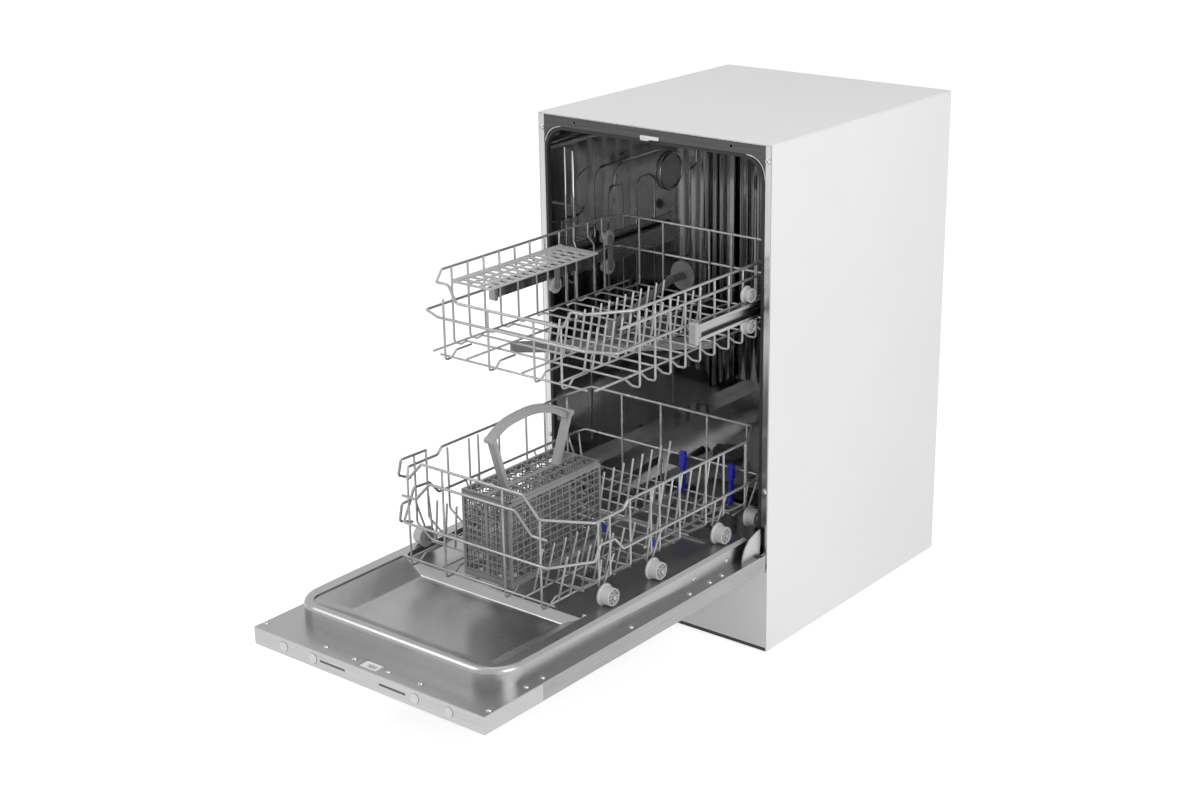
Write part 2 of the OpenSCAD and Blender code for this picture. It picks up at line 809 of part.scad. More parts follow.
hinge_inset = 9.7;
hinge_x = skin_half - hinge_inset;
hinge_slot = 57;
ear_step = 4.2;
ear_x = hinge_x + ear_step;
ear_t = 2;
ear_pocket = 22;
latch_half = 17;
latch_len = 20;
latch_inset = 6;
latch_front = -door_end - latch_inset;
latch_rear = latch_front - latch_len;

// What the hinge plates, the frame's ears and the latch need to pass
module flange_cuts(low, high) {
  both_sides() block([hinge_x - fit, -hinge_slot, low], [hinge_x + quadrant_t + fit, over, high]);
  both_sides() block([hinge_x, -ear_pocket, low], [ear_x + 2 * ear_t + fit, over, high]);
  mid_block(latch_half + run_gap, -latch_front - run_gap, -latch_rear + run_gap, low, high);
}

module door_liner() {
  color("silver") seated() difference() {
    union() {
      mid_block(flange_half, door_end + fit, -door_gap, door_z - liner_t, door_z);
      raised_form(0, door_z - liner_t);
    }
    difference() {
      raised_form(liner_t, door_z - liner_t - over);
      front_basin(liner_t);
      plateau(liner_t);
      dispenser_seat(liner_t, -over);
    }
    front_basin(0);
    plateau(0);
    dispenser_seat(fit, 0);
    flange_cuts(door_z - liner_t - over, door_z + over);
  }
}

module door_outer_panel() {
  top = door_z - liner_t;
  color("gray") seated() difference() {
    mid_block(cab_half, fascia_y + fit, -door_gap, door_bottom, top);
    mid_block(cab_half - door_sheet, fascia_y - over, -door_gap - door_sheet,
      door_bottom + door_sheet, top + over);
    both_sides() block([hinge_x - fit, -door_gap - 2 * door_sheet, door_bottom + 2 * door_sheet],
      [ear_x + 2 * ear_t + fit, over, top + over]);
  }
}

module hinge_arms() {
  strap = 90;
  strap_low = door_bottom + 2 * pin_r;
  strap_top = pin_z + quadrant_t;
  color("dimgray") seated() both_sides() union() {
    along_x(hinge_x, hinge_x + quadrant_t) union() {
      translate([pin_y, pin_z]) intersection() {
        circle(r = quadrant_r, $fn = 96);
        translate([-quadrant_r, 0]) square(quadrant_r);
      }
      translate([-strap, strap_low]) square([strap + pin_y + pin_r, strap_top - strap_low]);
    }
    pin_x(hinge_x, ear_x + 2 * ear_t, pin_y, pin_z, pin_r);
    strap_foot(strap);
  }
}

// The strap's foot is folded under the liner, where it is screwed to the door
module strap_foot(strap) {
  foot = 14;
  block([hinge_x - foot, -strap, door_bottom + 2 * pin_r],
    [hinge_x + over, -strap / 3, door_bottom + 2 * pin_r + quadrant_t]);
}

// The box with buttons and windows at the free end
fascia_wall = 2;
button_z = door_bottom + door_t / 2;
button_shares = [-0.723, -0.455, 0.433, 0.714];
window_shares = [-0.281, 0.241];
sleeve_len = 6;
button_rim = 1.2;

module fascia_box() {
  top = door_z - liner_t;
  difference() {
    mid_block(cab_half, door_end, fascia_y - fit, door_bottom, top);
    mid_block(cab_half - fascia_wall, door_end + fascia_wall, fascia_y - fit - fascia_wall,
      door_bottom + fascia_wall, top + over);
  }
}

module control_fascia() {
  sleeve_r = button_r + button_rim + button_gap;
  color("silver") seated() difference() {
    union() {
      fascia_box();
      for (share = button_shares)
        pin_y_axis(share * cab_half, door_end + over, door_end + fascia_wall + sleeve_len, button_z,
          sleeve_r + fascia_wall);
    }
    for (share = button_shares) {
      pin_y_axis(share * cab_half, door_end - over, door_end + fascia_wall + over, button_z,
        button_r + button_gap);
      pin_y_axis(share * cab_half, door_end + fascia_wall, door_end + fascia_wall + sleeve_len + over,
        button_z, sleeve_r);
    }
    for (share = window_shares)
      translate([share * cab_half - window_len / 2 - fit, door_end - over, button_z - window_h / 2 - fit])
        cube([window_len + 2 * fit, fascia_wall + 2 * over, window_h + 2 * fit]);
  }
}

module indicator_windows() {
  lens = 1.5;
  color("black") seated() for (share = window_shares) translate([share * cab_half, 0, button_z]) union() {
    block([-window_len / 2, door_end + fit, -window_h / 2],
      [window_len / 2, door_end + fascia_wall + lens, window_h / 2]);
    block([-window_len / 2 - lens, door_end + fascia_wall, -window_h / 2 - lens],
      [window_len / 2 + lens, door_end + fascia_wall + lens, window_h / 2 + lens]);
  }
}

module push_button(share) {
  back = door_end + fascia_wall + button_gap;
  color("silver") seated() union() {
    pin_y_axis(share * cab_half, door_end - button_out, back + over, button_z, button_r);
    pin_y_axis(share * cab_half, back, back + button_rim, button_z, button_r + button_rim);
  }
}

module button_power() {
  push_button(button_shares[0]);
}

module button_program() {
  push_button(button_shares[1]);
}

module button_option() {
  push_button(button_shares[2]);
}

module button_start() {
  push_button(button_shares[3]);
}

module door_latch() {
  top = door_z - liner_t - fit;
  slot_half = 9;
  slot_w = 8;
  wall = 6;
  ear = 8;
  color("white") seated() difference() {
    union() {
      mid_block(latch_half, -latch_front, -latch_rear, door_bottom + 4 * fascia_wall, top);
      mid_block(latch_half + ear, -latch_front, -latch_rear, top - fascia_wall, top);
    }
    mid_block(slot_half, -latch_rear - wall - slot_w, -latch_rear - wall + fit,
      door_bottom + 5 * fascia_wall, top + over);
  }
}

// Detergent dispenser, set into the plateau
disp_x0 = -60;
disp_x1 = 80;
disp_y0 = 200;
disp_y1 = 330;
disp_h = 24;
lid_w = 74;
lid_len = 66;
lid_h = 3;
lid_travel = 55;
lid_rail = 2.5;
lid_x0 = disp_x1 - lid_w - 2 * lid_rail;
lid_y = -disp_y1 + lid_rail + lid_len / 2 + 2 * lid_rail;

module dispenser_seat(grow, low) {
  block([disp_x0 - grow, -disp_y1 - grow, door_z - disp_h + low], [disp_x1 + grow, -disp_y0 + grow, rim_z]);
}

module dispenser_body() {
  top = rim_z - plateau_depth;
  cup_depth = 18;
  cup_wall = 6;
  knob_r = 17;
  knob_h = lid_h / 2;
  knob_x = disp_x0 + 2 * knob_r;
  knob_y = -disp_y0 - 1.5 * knob_r;
  color("gray") seated() difference() {
    union() {
      block([disp_x0, -disp_y1, top - disp_h], [disp_x1, -disp_y0, top]);
      for (side = [-1, 1])
        translate([disp_x0 + lid_rail, lid_y + side * (lid_len / 2 + run_gap + lid_rail / 2), top])
          translate([0, -lid_rail / 2, -over])
            cube([disp_x1 - disp_x0 - 2 * lid_rail, lid_rail, lid_h + over]);
      translate([knob_x, knob_y, top - over]) cylinder(r = knob_r, h = knob_h + over, $fn = 64);
      translate([knob_x - knob_r, knob_y - lid_rail / 2, top]) cube([2 * knob_r, lid_rail, 1.6 * knob_h]);
    }
    block([lid_x0 + cup_wall, lid_y - lid_len / 2 + cup_wall, top - cup_depth],
      [lid_x0 + lid_w - cup_wall, lid_y + lid_len / 2 - cup_wall, top + over]);
  }
}

module dispenser_lid() {
  low = rim_z - plateau_depth + run_gap;
  grip_w = 16;
  color("dimgray") seated() union() {
    block([lid_x0, lid_y - lid_len / 2, low], [lid_x0 + lid_w, lid_y + lid_len / 2, low + lid_h]);
    block([lid_x0 + grip_w / 2, lid_y - grip_w, low], [lid_x0 + grip_w, lid_y + grip_w, low + 1.6 * lid_h]);
  }
}

// Upper rails: a channel on each side that slides over its guide
module upper_rails() {
  color("silver") seated() both_sides() along_y(-rail_out, rail_len - rail_out) difference() {
    translate([rail_x0, rail_z - rail_h / 2]) square([rail_w, rail_h]);
    translate([rail_x0 + rail_t, rail_z - rail_in_h / 2]) square([rail_w - 2 * rail_t, rail_in_h]);
    translate([rail_x1 - 2 * rail_t, rail_z - rail_in_h / 2 + lip_h])
      square([3 * rail_t, rail_in_h - 2 * lip_h]);
  }
}

cap_t = 8;
cap_h = 34;
plug_len = 10;

module rail_end_caps() {
  y1 = -rail_out;
  color("gray") seated() both_sides() union() {
    along_x(rail_x0 - rail_t - run_gap, rail_x1 + rail_t) union() {
      translate([y1 - cap_t, rail_z - cap_h / 2 + cap_t / 2]) square([cap_t, cap_h - cap_t]);
      translate([y1 - cap_t / 2, rail_z - cap_h / 2]) square([cap_t / 2, cap_h]);
      for (s = [-1, 1]) translate([y1 - cap_t / 2, rail_z + s * (cap_h - cap_t) / 2])
        circle(r = cap_t / 2, $fn = 32);
    }
    block([rail_x0 + rail_t + fit, y1 - over, rail_z - rail_in_h / 2 + fit],
      [rail_x1 - rail_t - fit, y1 + plug_len, rail_z + rail_in_h / 2 - fit]);
  }
}

// Racks of welded wire: rims, uprights, a floor grid and rows of tines
weld_share = 0.8;
weld = (rim_wire + thin_wire) * weld_share;
cross_weld = 2 * thin_wire * weld_share;

function other_side(path) = [for (i = [len(path) - 1 : -1 : 0]) [-path[i][0], path[i][1], path[i][2]]];
function ring(path) = concat(path, other_side(path));

// Half of a rim from the middle of the front to the middle of the back
function rim_path(yf, yr, cut_x, cut_y, rear, z) = [
  [rack_half - cut_x, yf, z], [rack_half, yf + cut_y, z],
  [rack_half, yr - rear, z], [rack_half - rear / 2, yr, z]
];

upper_yf = -upper_out;
upper_yr = upper_d - upper_out;
upper_top = upper_floor + upper_wall;
upper_dip = 26;
dip_half = 102;
dip_slope = 14;
corner_x = 42;
corner_y = 56;
mid_share = 0.52;
upper_mid = upper_floor + upper_wall * mid_share;
rim_step = 20;
upper_rows = floor((upper_d - corner_x - corner_y) / wire_pitch);
function upper_row_y(k) = upper_yr - corner_x - k * wire_pitch;
upper_front_shares = [-0.72, -0.24, 0.24, 0.52];
upper_rear_shares = [-0.72, -0.45, 0.06, 0.3, 0.55];
roller_rise = rail_h / 2 + roller_r + run_gap;
roller_front_y = -10;
roller_base = 138;
roller_rear_y = roller_front_y + roller_base;
plate_t = 3.2;
plate_x1 = rack_half + rim_wire;
roller_w = 12;
roller_x0 = plate_x1 + run_gap;
roller_x1 = roller_x0 + flange_h / 2 + roller_w;

// A pin on the rack with a plate behind it and a head in front of the wheel
module axle_pin(x0, x1, y, z) {
  pin_x(x0 - plate_t / 2, x1 + run_gap + over, y, z, axle_r);
  pin_x(x1 + run_gap, x1 + run_gap + axle_r, y, z, axle_r * 1.7);
}

module upper_rack_walls() {
  zt = upper_top;
  dip = [[dip_half, upper_yf, zt - upper_dip], [dip_half + dip_slope, upper_yf, zt]];
  rim = rim_path(upper_yf, upper_yr, corner_x, corner_y, corner_x, zt);
  mid = rim_path(upper_yf, upper_yr, corner_x, corner_y / 3, corner_y / 5, upper_mid);
  color("silver") seated() union() {
    bent_wire(ring(concat(dip, rim)), rim_wire, true);
    bent_wire(ring(mid), rim_wire, true);
    bent_wire([[rack_half, upper_yf + corner_y / 2, zt - rim_step],
      [rack_half, upper_yr, zt - rim_step]], rim_wire);
    both_sides() for (k = [0 : upper_rows])
      wire([rack_half - weld, upper_row_y(k), upper_floor + thin_wire + wire_lap + fit],
        [rack_half - weld, upper_row_y(k), zt], thin_wire);
    for (share = upper_front_shares)
      wire([share * rack_half, upper_yf + weld, upper_floor + thin_wire + wire_lap + fit],
        [share * rack_half, upper_yf + weld, zt - upper_dip], thin_wire);
    for (share = upper_rear_shares)
      wire([share * rack_half, upper_yr - weld, upper_floor + thin_wire + wire_lap + fit],
        [share * rack_half, upper_yr - weld, zt], thin_wire);
    both_sides() for (y = [roller_front_y, roller_rear_y]) {
      block([plate_x1 - plate_t, y - roller_r, rail_z - roller_rise - axle_r],
        [plate_x1, y + roller_r, rail_z + roller_rise + axle_r]);
      for (s = [-1, 1]) {
        pin_x(plate_x1 - plate_t, plate_x1, y, rail_z + s * roller_rise, roller_r * 0.7);
        axle_pin(plate_x1, roller_x1, y, rail_z + s * roller_rise);
      }
    }
  }
}

upper_long_shares = [-0.85, -0.48, 0.11, 0.5, 0.85];
upper_tine_shares = [0.11, 0.5];
tine_lean = 14;
upper_tines = 11;
tine_pitch = 24;

module upper_rack_floor() {
  low = upper_floor;
  color("silver") seated() union() {
    for (k = [0 : upper_rows])
      wire([-rack_half + weld, upper_row_y(k), low], [rack_half - weld, upper_row_y(k), low], thin_wire);
    for (y = [upper_yf + weld, upper_yr - weld])
      wire([-rack_half + corner_x, y, low], [rack_half - corner_x, y, low], thin_wire);
    for (share = upper_long_shares)
      wire([share * rack_half, upper_yf + weld, low + cross_weld],
        [share * rack_half, upper_yr - weld, low + cross_weld], thin_wire);
    for (share = upper_tine_shares, k = [0 : upper_tines])
      wire([share * rack_half, upper_yf + corner_y + k * tine_pitch, low + cross_weld],
        [share * rack_half, upper_yf + corner_y + k * tine_pitch + tine_lean, low + tine_h], thin_wire);
  }
}

// A wheel pair: tread, flange on the rack's side, bore, and a pocket with spokes outside
spokes = 8;
spoke_w = 1.6;

module wheel_pair(y, z, r, x0, x1) {
  flange_w = flange_h * 1.3;
  hub = axle_r * 2.2;
  rim = r - flange_h * 0.6;
  pocket = (x1 - x0) / 3;
  both_sides() difference() {
    union() {
      pin_x(x0, x0 + flange_w, y, z, r + flange_h);
      pin_x(x0 + flange_w - over, x1, y, z, r);
    }
    pin_x(x0 - over, x1 + over, y, z, axle_r + axle_gap);
    difference() {
      pin_x(x1 - pocket, x1 + over, y, z, rim);
      pin_x(x1 - pocket - over, x1 + 2 * over, y, z, hub);
      for (k = [0 : spokes / 2 - 1])
        translate([x1 - pocket / 2, y, z]) rotate([k * 360 / spokes, 0, 0])
          cube([pocket + 4 * over, 2 * r, spoke_w], center = true);
    }
  }
}

module rollers_front_top() {
  color("white") seated() wheel_pair(roller_front_y, rail_z + roller_rise, roller_r, roller_x0, roller_x1);
}

module rollers_front_bottom() {
  color("white") seated() wheel_pair(roller_front_y, rail_z - roller_rise, roller_r, roller_x0, roller_x1);
}

module rollers_rear_top() {
  color("white") seated() wheel_pair(roller_rear_y, rail_z + roller_rise, roller_r, roller_x0, roller_x1);
}

module rollers_rear_bottom() {
  color("white") seated() wheel_pair(roller_rear_y, rail_z - roller_rise, roller_r, roller_x0, roller_x1);
}

// A folding shelf for cups on the left wall
shelf_y0 = -265;
shelf_y1 = -10;
shelf_w = 76;
shelf_t = 3;
shelf_z = 605;
shelf_tube = 3.5;
shelf_x = -(rack_half - weld - thin_wire - run_gap - shelf_tube);

module cup_shelf() {
  bar = 3;
  cell = 17;
  n = floor((shelf_y1 - shelf_y0 - bar) / cell);
  color("silver") seated() union() {
    pin_y_axis(shelf_x, shelf_y0, shelf_y1, shelf_z, shelf_tube);
    translate([shelf_x, 0, shelf_z - shelf_t / 2]) linear_extrude(height = shelf_t) difference() {
      translate([0, shelf_y0]) square([shelf_w, shelf_y1 - shelf_y0]);
      for (k = [0 : n - 1], j = [0 : 2])
        translate([shelf_tube + bar + j * (shelf_w - shelf_tube - bar) / 3, shelf_y0 + bar + k * cell])
          square([(shelf_w - shelf_tube - bar) / 3 - bar, cell - bar]);
    }
  }
}

// The upper spray arm hangs from its feed, which couples to the nozzle in the tub's back
arm_y = upper_row_y(6) + wire_pitch / 2;
upper_arm_z = 489;
duct_r = 6.5;
duct_z = upper_floor + cross_weld + thin_wire + duct_r + run_gap;
coupling_r = 24;
coupling_t = 6;
elbow_swell = 1.2;

module upper_spray_feed() {
  y1 = upper_yr - coupling_t / 4;
  elbow_y = upper_yr - wire_pitch;
  color("gray") seated() union() {
    pin_y_axis(feed_x, elbow_y, y1, feed_z, duct_r);
    pin_y_axis(feed_x, y1 - coupling_t / 2, y1, feed_z, coupling_r);
    pin_y_axis(feed_x, y1 - over, y1 + coupling_t / 4, feed_z, coupling_r * 0.7);
    pin_y_axis(feed_x, y1 - over, y1 + coupling_t / 2, feed_z, duct_r + tub_t);
    round_run([feed_x, elbow_y, feed_z], [feed_x / 2, arm_y + 2 * wire_pitch, duct_z], duct_r);
    round_run([feed_x / 2, arm_y + 2 * wire_pitch, duct_z], [0, arm_y, duct_z], duct_r);
    translate([feed_x, elbow_y, feed_z]) sphere(r = duct_r + elbow_swell, $fn = 48);
    translate([feed_x / 2, arm_y + 2 * wire_pitch, duct_z]) sphere(r = duct_r + elbow_swell, $fn = 48);
    translate([0, arm_y, upper_arm_z + arm_t + sump_wall + run_gap])
      cylinder(r = duct_r + over, h = duct_z + duct_r - upper_arm_z - arm_t - sump_wall - run_gap, $fn = 64);
    translate([0, arm_y, upper_arm_z + arm_t / 2])
      cylinder(r = spindle_r, h = duct_z - upper_arm_z - arm_t / 2, $fn = 48);
  }
}

// A round bar from a to b
module round_run(a, b, r) {
  v = b - a;
  translate(a) rotate([0, acos(v[2] / norm(v)), atan2(v[1], v[0])]) cylinder(r = r, h = norm(v), $fn = 48);
}

upper_arm_turn = 40;

module upper_spray_arm() {
  color("gray") seated() translate([0, arm_y, 0]) rotate([0, 0, upper_arm_turn]) difference() {
    spray_arm(upper_arm_z);
    translate([0, 0, upper_arm_z + arm_t / 2 - run_gap])
      cylinder(r = spindle_r + axle_gap, h = arm_t + sump_wall, $fn = 48);
  }
}

// Lower rack
lower_yf = -lower_out;
lower_yr = lower_d - lower_out;
lower_top = lower_floor + lower_wall;
lower_rise = 31;
high_half = 98;
high_slope = 30;
lower_step = 10;
lower_step_y = -305;
lower_mid = 275;
second_drop = 28;
rear_rise = 8;
lower_rows = floor((lower_d - corner_x - corner_y) / wire_pitch);
function lower_row_y(k) = lower_yr - corner_x - k * wire_pitch;
lower_front_shares = [-0.76, -0.37, 0.29, 0.68];
lower_rear_shares = [-0.52, -0.08, 0.43];
wheel_y = [-343, -230, -66, 20];
wheel_inset = 8.5;
wheel_span = 19.5;
wheel_x0 = rack_half - wheel_inset;
wheel_x1 = wheel_x0 + wheel_span;
wheel_z = rim_z + run_gap + wheel_r;
bracket_half = 8;

module lower_rack_walls() {
  zt = lower_top;
  foot_z = lower_floor + thin_wire + wire_lap + 3 * fit;
  in_x = rack_half - weld;
  front = [[high_half, lower_yf, zt + lower_rise], [high_half + high_slope, lower_yf, zt]];
  right = [
    [rack_half, lower_yf + corner_y, zt - lower_step],
    [rack_half, lower_step_y, zt - lower_step], [rack_half, lower_step_y + lower_step, zt],
    [rack_half, lower_yr - corner_x, zt], [rack_half - corner_x / 2, lower_yr, zt + rear_rise]
  ];
  second = [
    [high_half - high_slope / 2, lower_yf, zt + lower_rise - second_drop],
    [high_half + high_slope / 2, lower_yf, zt - second_drop],
    [rack_half - corner_x, lower_yf, zt - second_drop]
  ];
  mid = rim_path(lower_yf, lower_yr, corner_x, corner_y, corner_x / 3, lower_mid);
  front_y = lower_yf + weld;
  rear_y = lower_yr - weld;
  color("silver") seated() union() {
    bent_wire(ring(concat(front, right)), rim_wire, true);
    bent_wire(concat(other_side(second), second), rim_wire);
    bent_wire(ring(mid), rim_wire, true);
    both_sides() for (k = [0 : lower_rows]) {
      y = lower_row_y(k);
      wire([in_x, y, lower_floor + tuck_h], [in_x, y, zt - lower_step / 2], thin_wire);
      wire([in_x - lower_tuck, y, foot_z], [in_x, y, lower_floor + tuck_h], thin_wire);
    }
    for (share = lower_front_shares)
      wire([share * rack_half, front_y, foot_z], [share * rack_half, front_y, zt], thin_wire);
    for (share = lower_rear_shares)
      wire([share * rack_half, rear_y, foot_z], [share * rack_half, rear_y, zt + rear_rise], thin_wire);
    both_sides() for (y = wheel_y) {
      block([wheel_x0 - run_gap - plate_t, y - bracket_half, rim_z + 2 * flange_h],
        [wheel_x0 - run_gap, y + bracket_half, lower_mid]);
      block([wheel_x0 - run_gap - plate_t, y - bracket_half, lower_mid - plate_t],
        [rack_half, y + bracket_half, lower_mid]);
      axle_pin(wheel_x0 - run_gap, wheel_x1, y, wheel_z);
    }
  }
}

lower_long_shares = [-0.92, -0.5, -0.04, 0.61, 0.92];
fixed_row_shares = [0.61, 0.92];
fixed_tines = 7;
fixed_pitch = 26;
left_tine_shares = [-0.78, -0.67, -0.56];

module lower_rack_floor() {
  low = lower_floor;
  half = rack_half - weld - lower_tuck;
  row = lower_row_y(lower_rows);
  color("silver") seated() union() {
    for (k = [0 : lower_rows]) wire([-half, lower_row_y(k), low], [half, lower_row_y(k), low], thin_wire);
    wire([-half, lower_yf + weld, low], [half, lower_yf + weld, low], thin_wire);
    wire([-half, lower_yr - weld, low], [half, lower_yr - weld, low], thin_wire);
    for (share = lower_long_shares)
      wire([share * half, lower_yf + weld, low - cross_weld],
        [share * half, lower_yr - weld, low - cross_weld], thin_wire);
    for (share = fixed_row_shares, k = [1 : fixed_tines])
      wire([share * half, lower_yf + k * fixed_pitch, low - cross_weld],
        [share * half + tine_lean / 2, lower_yf + k * fixed_pitch + tine_lean, low + tine_h], thin_wire);
    for (share = left_tine_shares)
      wire([share * rack_half, row, low], [share * rack_half - tine_lean / 2, row + tine_lean, low + tine_h],
        thin_wire);
  }
}

// Folding tine rows
row_left_x = 35;
row_right_x = 130;
row_y0 = -192;
row_y1 = 22;
row_pitch = 26;
row_z = lower_floor + thin_wire + rim_wire + run_gap;
rod_tail = 11;

module tine_row(x) {
  n = floor((row_y1 - row_y0) / row_pitch);
  color("silver") seated() union() {
    wire([x, row_y0, row_z], [x, row_y1 + rod_tail, row_z], rim_wire);
    for (k = [0 : n])
      wire([x, row_y0 + row_pitch / 4 + k * row_pitch, row_z],
        [x, row_y0 + row_pitch / 4 + k * row_pitch, row_z + fold_h - thin_wire], thin_wire);
  }
}

module tine_row_left() {
  tine_row(row_left_x);
}

module tine_row_right() {
  tine_row(row_right_x);
}

// Blue clips that hold the rows' rods down. The rear ones climb to the rack's middle rim.
module tine_clips() {
  w = 9;
  wall = 2.5;
  gap = rim_wire + run_gap;
  rear_y = row_y1 + rod_tail / 2;
  stem_y = lower_yr - weld - thin_wire - run_gap;
  head_h = 24;
  color("blue") seated() for (x = [row_left_x, row_right_x]) {
    for (y = [row_y0 + row_pitch * 0.75, rear_y]) translate([x, y - w / 2 + over, row_z]) difference() {
      block([-gap - wall, 0, -rim_wire - run_gap], [gap + wall, w, gap + wall]);
      block([-gap, -over, -rim_wire - run_gap - over], [gap, w + over, gap]);
    }
    block([x - gap, rear_y + w / 3, row_z + gap], [x + gap, stem_y, lower_mid + head_h / 2]);
    block([x - gap - wall, rear_y + w / 3, lower_mid - head_h / 2],
      [x + 2 * gap, stem_y, lower_mid + head_h / 2]);
  }
}

// Cutlery basket with grid walls, and its lid with the arched handle
basket_x0 = -27;
basket_y0 = -418;
basket_z0 = lower_floor + thin_wire + run_gap;
bar_w = 2.2;

module grid(w, h, pitch = grid_pitch) {
  nx = round((w - bar_w) / pitch);
  nz = round((h - bar_w) / pitch);
  px = (w - bar_w) / nx;
  pz = (h - bar_w) / nz;
  difference() {
    square([w, h]);
    for (i = [0 : nx - 1], j = [0 : nz - 1])
      translate([bar_w + i * px, bar_w + j * pz]) square([px - bar_w, pz - bar_w]);
  }
}

module cutlery_basket() {
  color("gray") seated() translate([basket_x0, basket_y0, basket_z0]) union() {
    linear_extrude(height = basket_t) grid(basket_w, basket_len, 2 * grid_pitch);
    for (y = [basket_t, basket_len]) translate([0, y, 0]) rotate([90, 0, 0])
      linear_extrude(height = basket_t) grid(basket_w, basket_h - lid_h);
    for (x = [0, basket_w - basket_t]) translate([x, 0, 0]) rotate([90, 0, 90])
      linear_extrude(height = basket_t) grid(basket_len, basket_h - lid_h);
    translate([basket_w / 2, 0, 0]) rotate([90, 0, 90])
      linear_extrude(height = basket_t) grid(basket_len, basket_h - lid_h, 3 * grid_pitch);
    for (x = [0, basket_w - 2 * basket_t], y = [0, basket_len - 2 * basket_t])
      translate([x, y, 0]) cube([2 * basket_t, 2 * basket_t, basket_h - lid_h]);
  }
}

// The handle's side view in shares of the basket's length and of the handle's height
handle_shares = [
  [0.18, 0], [0.06, 0.78], [0.04, 0.87], [0.16, 0.95], [0.33, 1], [0.5, 1], [0.66, 0.94], [0.8, 0.86],
  [0.93, 0.72], [0.96, 0.64], [0.9, 0.6], [0.8, 0.72], [0.66, 0.82], [0.5, 0.88], [0.33, 0.88],
  [0.16, 0.83], [0.14, 0.75], [0.25, 0]
];
handle_w = 15;

// Windows beside the lid's spine, which carries the handle
lid_columns = 2;

module basket_lid() {
  cell_x = ((basket_w - handle_w) / 2 - basket_t) / lid_columns;
  cell_y = 2 * grid_pitch;
  rows = floor((basket_len - 2 * basket_t) / cell_y);
  low = basket_z0 + basket_h - lid_h + fit;
  color("gray") seated() union() {
    translate([basket_x0, basket_y0, low]) linear_extrude(height = lid_h) difference() {
      square([basket_w, basket_len]);
      for (side = [0, 1], i = [0 : lid_columns - 1], j = [0 : rows - 1])
        translate([basket_w / 2, basket_len / 2 + (j - (rows - 1) / 2) * cell_y]) mirror([side, 0])
          translate([handle_w / 2 + (i + 1 / 2) * cell_x, 0])
            square([cell_x - bar_w, cell_y - bar_w], center = true);
    }
    along_x(basket_x0 + basket_w / 2 - handle_w / 2, basket_x0 + basket_w / 2 + handle_w / 2)
      polygon([for (s = handle_shares) [basket_y0 + s[0] * basket_len, low + s[1] * handle_h + lid_h / 2]]);
    along_x(basket_x0 + basket_w / 2 - handle_w / 3, basket_x0 + basket_w / 2 + handle_w / 3)
      polygon([for (s = leg_shares) [basket_y0 + s[0] * basket_len, low + s[1] * handle_h + lid_h / 2]]);
  }
}

leg_shares = [[0.72, 0], [0.78, 0], [0.96, 0.68], [0.88, 0.72]];

module wheels_front() {
  color("white") seated() wheel_pair(wheel_y[0], wheel_z, wheel_r, wheel_x0, wheel_x1);
}

module wheels_mid_front() {
  color("white") seated() wheel_pair(wheel_y[1], wheel_z, wheel_r, wheel_x0, wheel_x1);
}

module wheels_mid_rear() {
  color("white") seated() wheel_pair(wheel_y[2], wheel_z, wheel_r, wheel_x0, wheel_x1);
}

module wheels_rear() {
  color("white") seated() wheel_pair(wheel_y[3], wheel_z, wheel_r, wheel_x0, wheel_x1);
}

base_tray();
left_side_panel();
right_side_panel();
top_panel();
back_panel();
front_frame();
kick_plate();
foot_front_left();
foot_front_right();
foot_rear();
tub_wrap();
tub_back();
tub_floor();
door_seal();
latch_strike();
rail_guides();
sump();
wash_pump();
drain_pump();
softener_tank();
inlet_valve();
feed_pipe();
air_break();
filter_cup();
salt_cap();
lower_spray_arm();
door_outer_panel();
door_liner();
control_fascia();
indicator_windows();
door_latch();
hinge_arms();
dispenser_body();
dispenser_lid();
button_power();
button_program();
button_option();
button_start();
upper_rails();
rail_end_caps();
upper_rack_floor();
upper_rack_walls();
cup_shelf();
upper_spray_feed();
upper_spray_arm();
rollers_front_top();
rollers_front_bottom();
rollers_rear_top();
rollers_rear_bottom();
lower_rack_floor();
lower_rack_walls();
tine_row_left();
tine_row_right();
tine_clips();
cutlery_basket();
basket_lid();
wheels_front();
wheels_mid_front();
wheels_mid_rear();
wheels_rear();
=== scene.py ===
"""A 45 cm built-in dishwasher with its door hanging open and both racks pulled out."""

import json
import math

import bmesh
import bpy
from mathutils import Matrix, Vector


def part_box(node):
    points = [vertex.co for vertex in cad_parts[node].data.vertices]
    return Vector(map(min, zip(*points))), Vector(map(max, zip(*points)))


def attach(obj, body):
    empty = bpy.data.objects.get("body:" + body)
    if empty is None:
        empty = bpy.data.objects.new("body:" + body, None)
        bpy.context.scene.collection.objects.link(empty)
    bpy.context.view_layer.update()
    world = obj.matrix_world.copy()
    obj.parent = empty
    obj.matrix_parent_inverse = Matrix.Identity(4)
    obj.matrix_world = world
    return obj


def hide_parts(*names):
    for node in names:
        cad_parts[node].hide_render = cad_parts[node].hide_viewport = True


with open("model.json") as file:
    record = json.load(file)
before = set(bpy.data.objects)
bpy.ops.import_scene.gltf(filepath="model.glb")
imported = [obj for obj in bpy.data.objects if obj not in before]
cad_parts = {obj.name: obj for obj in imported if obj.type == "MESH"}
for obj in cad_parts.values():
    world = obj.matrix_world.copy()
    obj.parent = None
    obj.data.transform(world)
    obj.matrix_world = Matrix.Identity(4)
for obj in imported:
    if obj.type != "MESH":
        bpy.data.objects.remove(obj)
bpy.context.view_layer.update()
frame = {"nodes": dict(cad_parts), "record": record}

MM = 0.001
FRONT_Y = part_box("left_side_panel")[0][1]


def at(x, y, z):
    """A point in millimetres, with y counted back from the cabinet's front, in the shared frame."""
    return Vector((x * MM, FRONT_Y + y * MM, z * MM))


def span(node):
    """A node's box in millimetres, with y counted back from the cabinet's front."""
    return [(p[0] / MM, (p[1] - FRONT_Y) / MM, p[2] / MM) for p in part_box(node)]


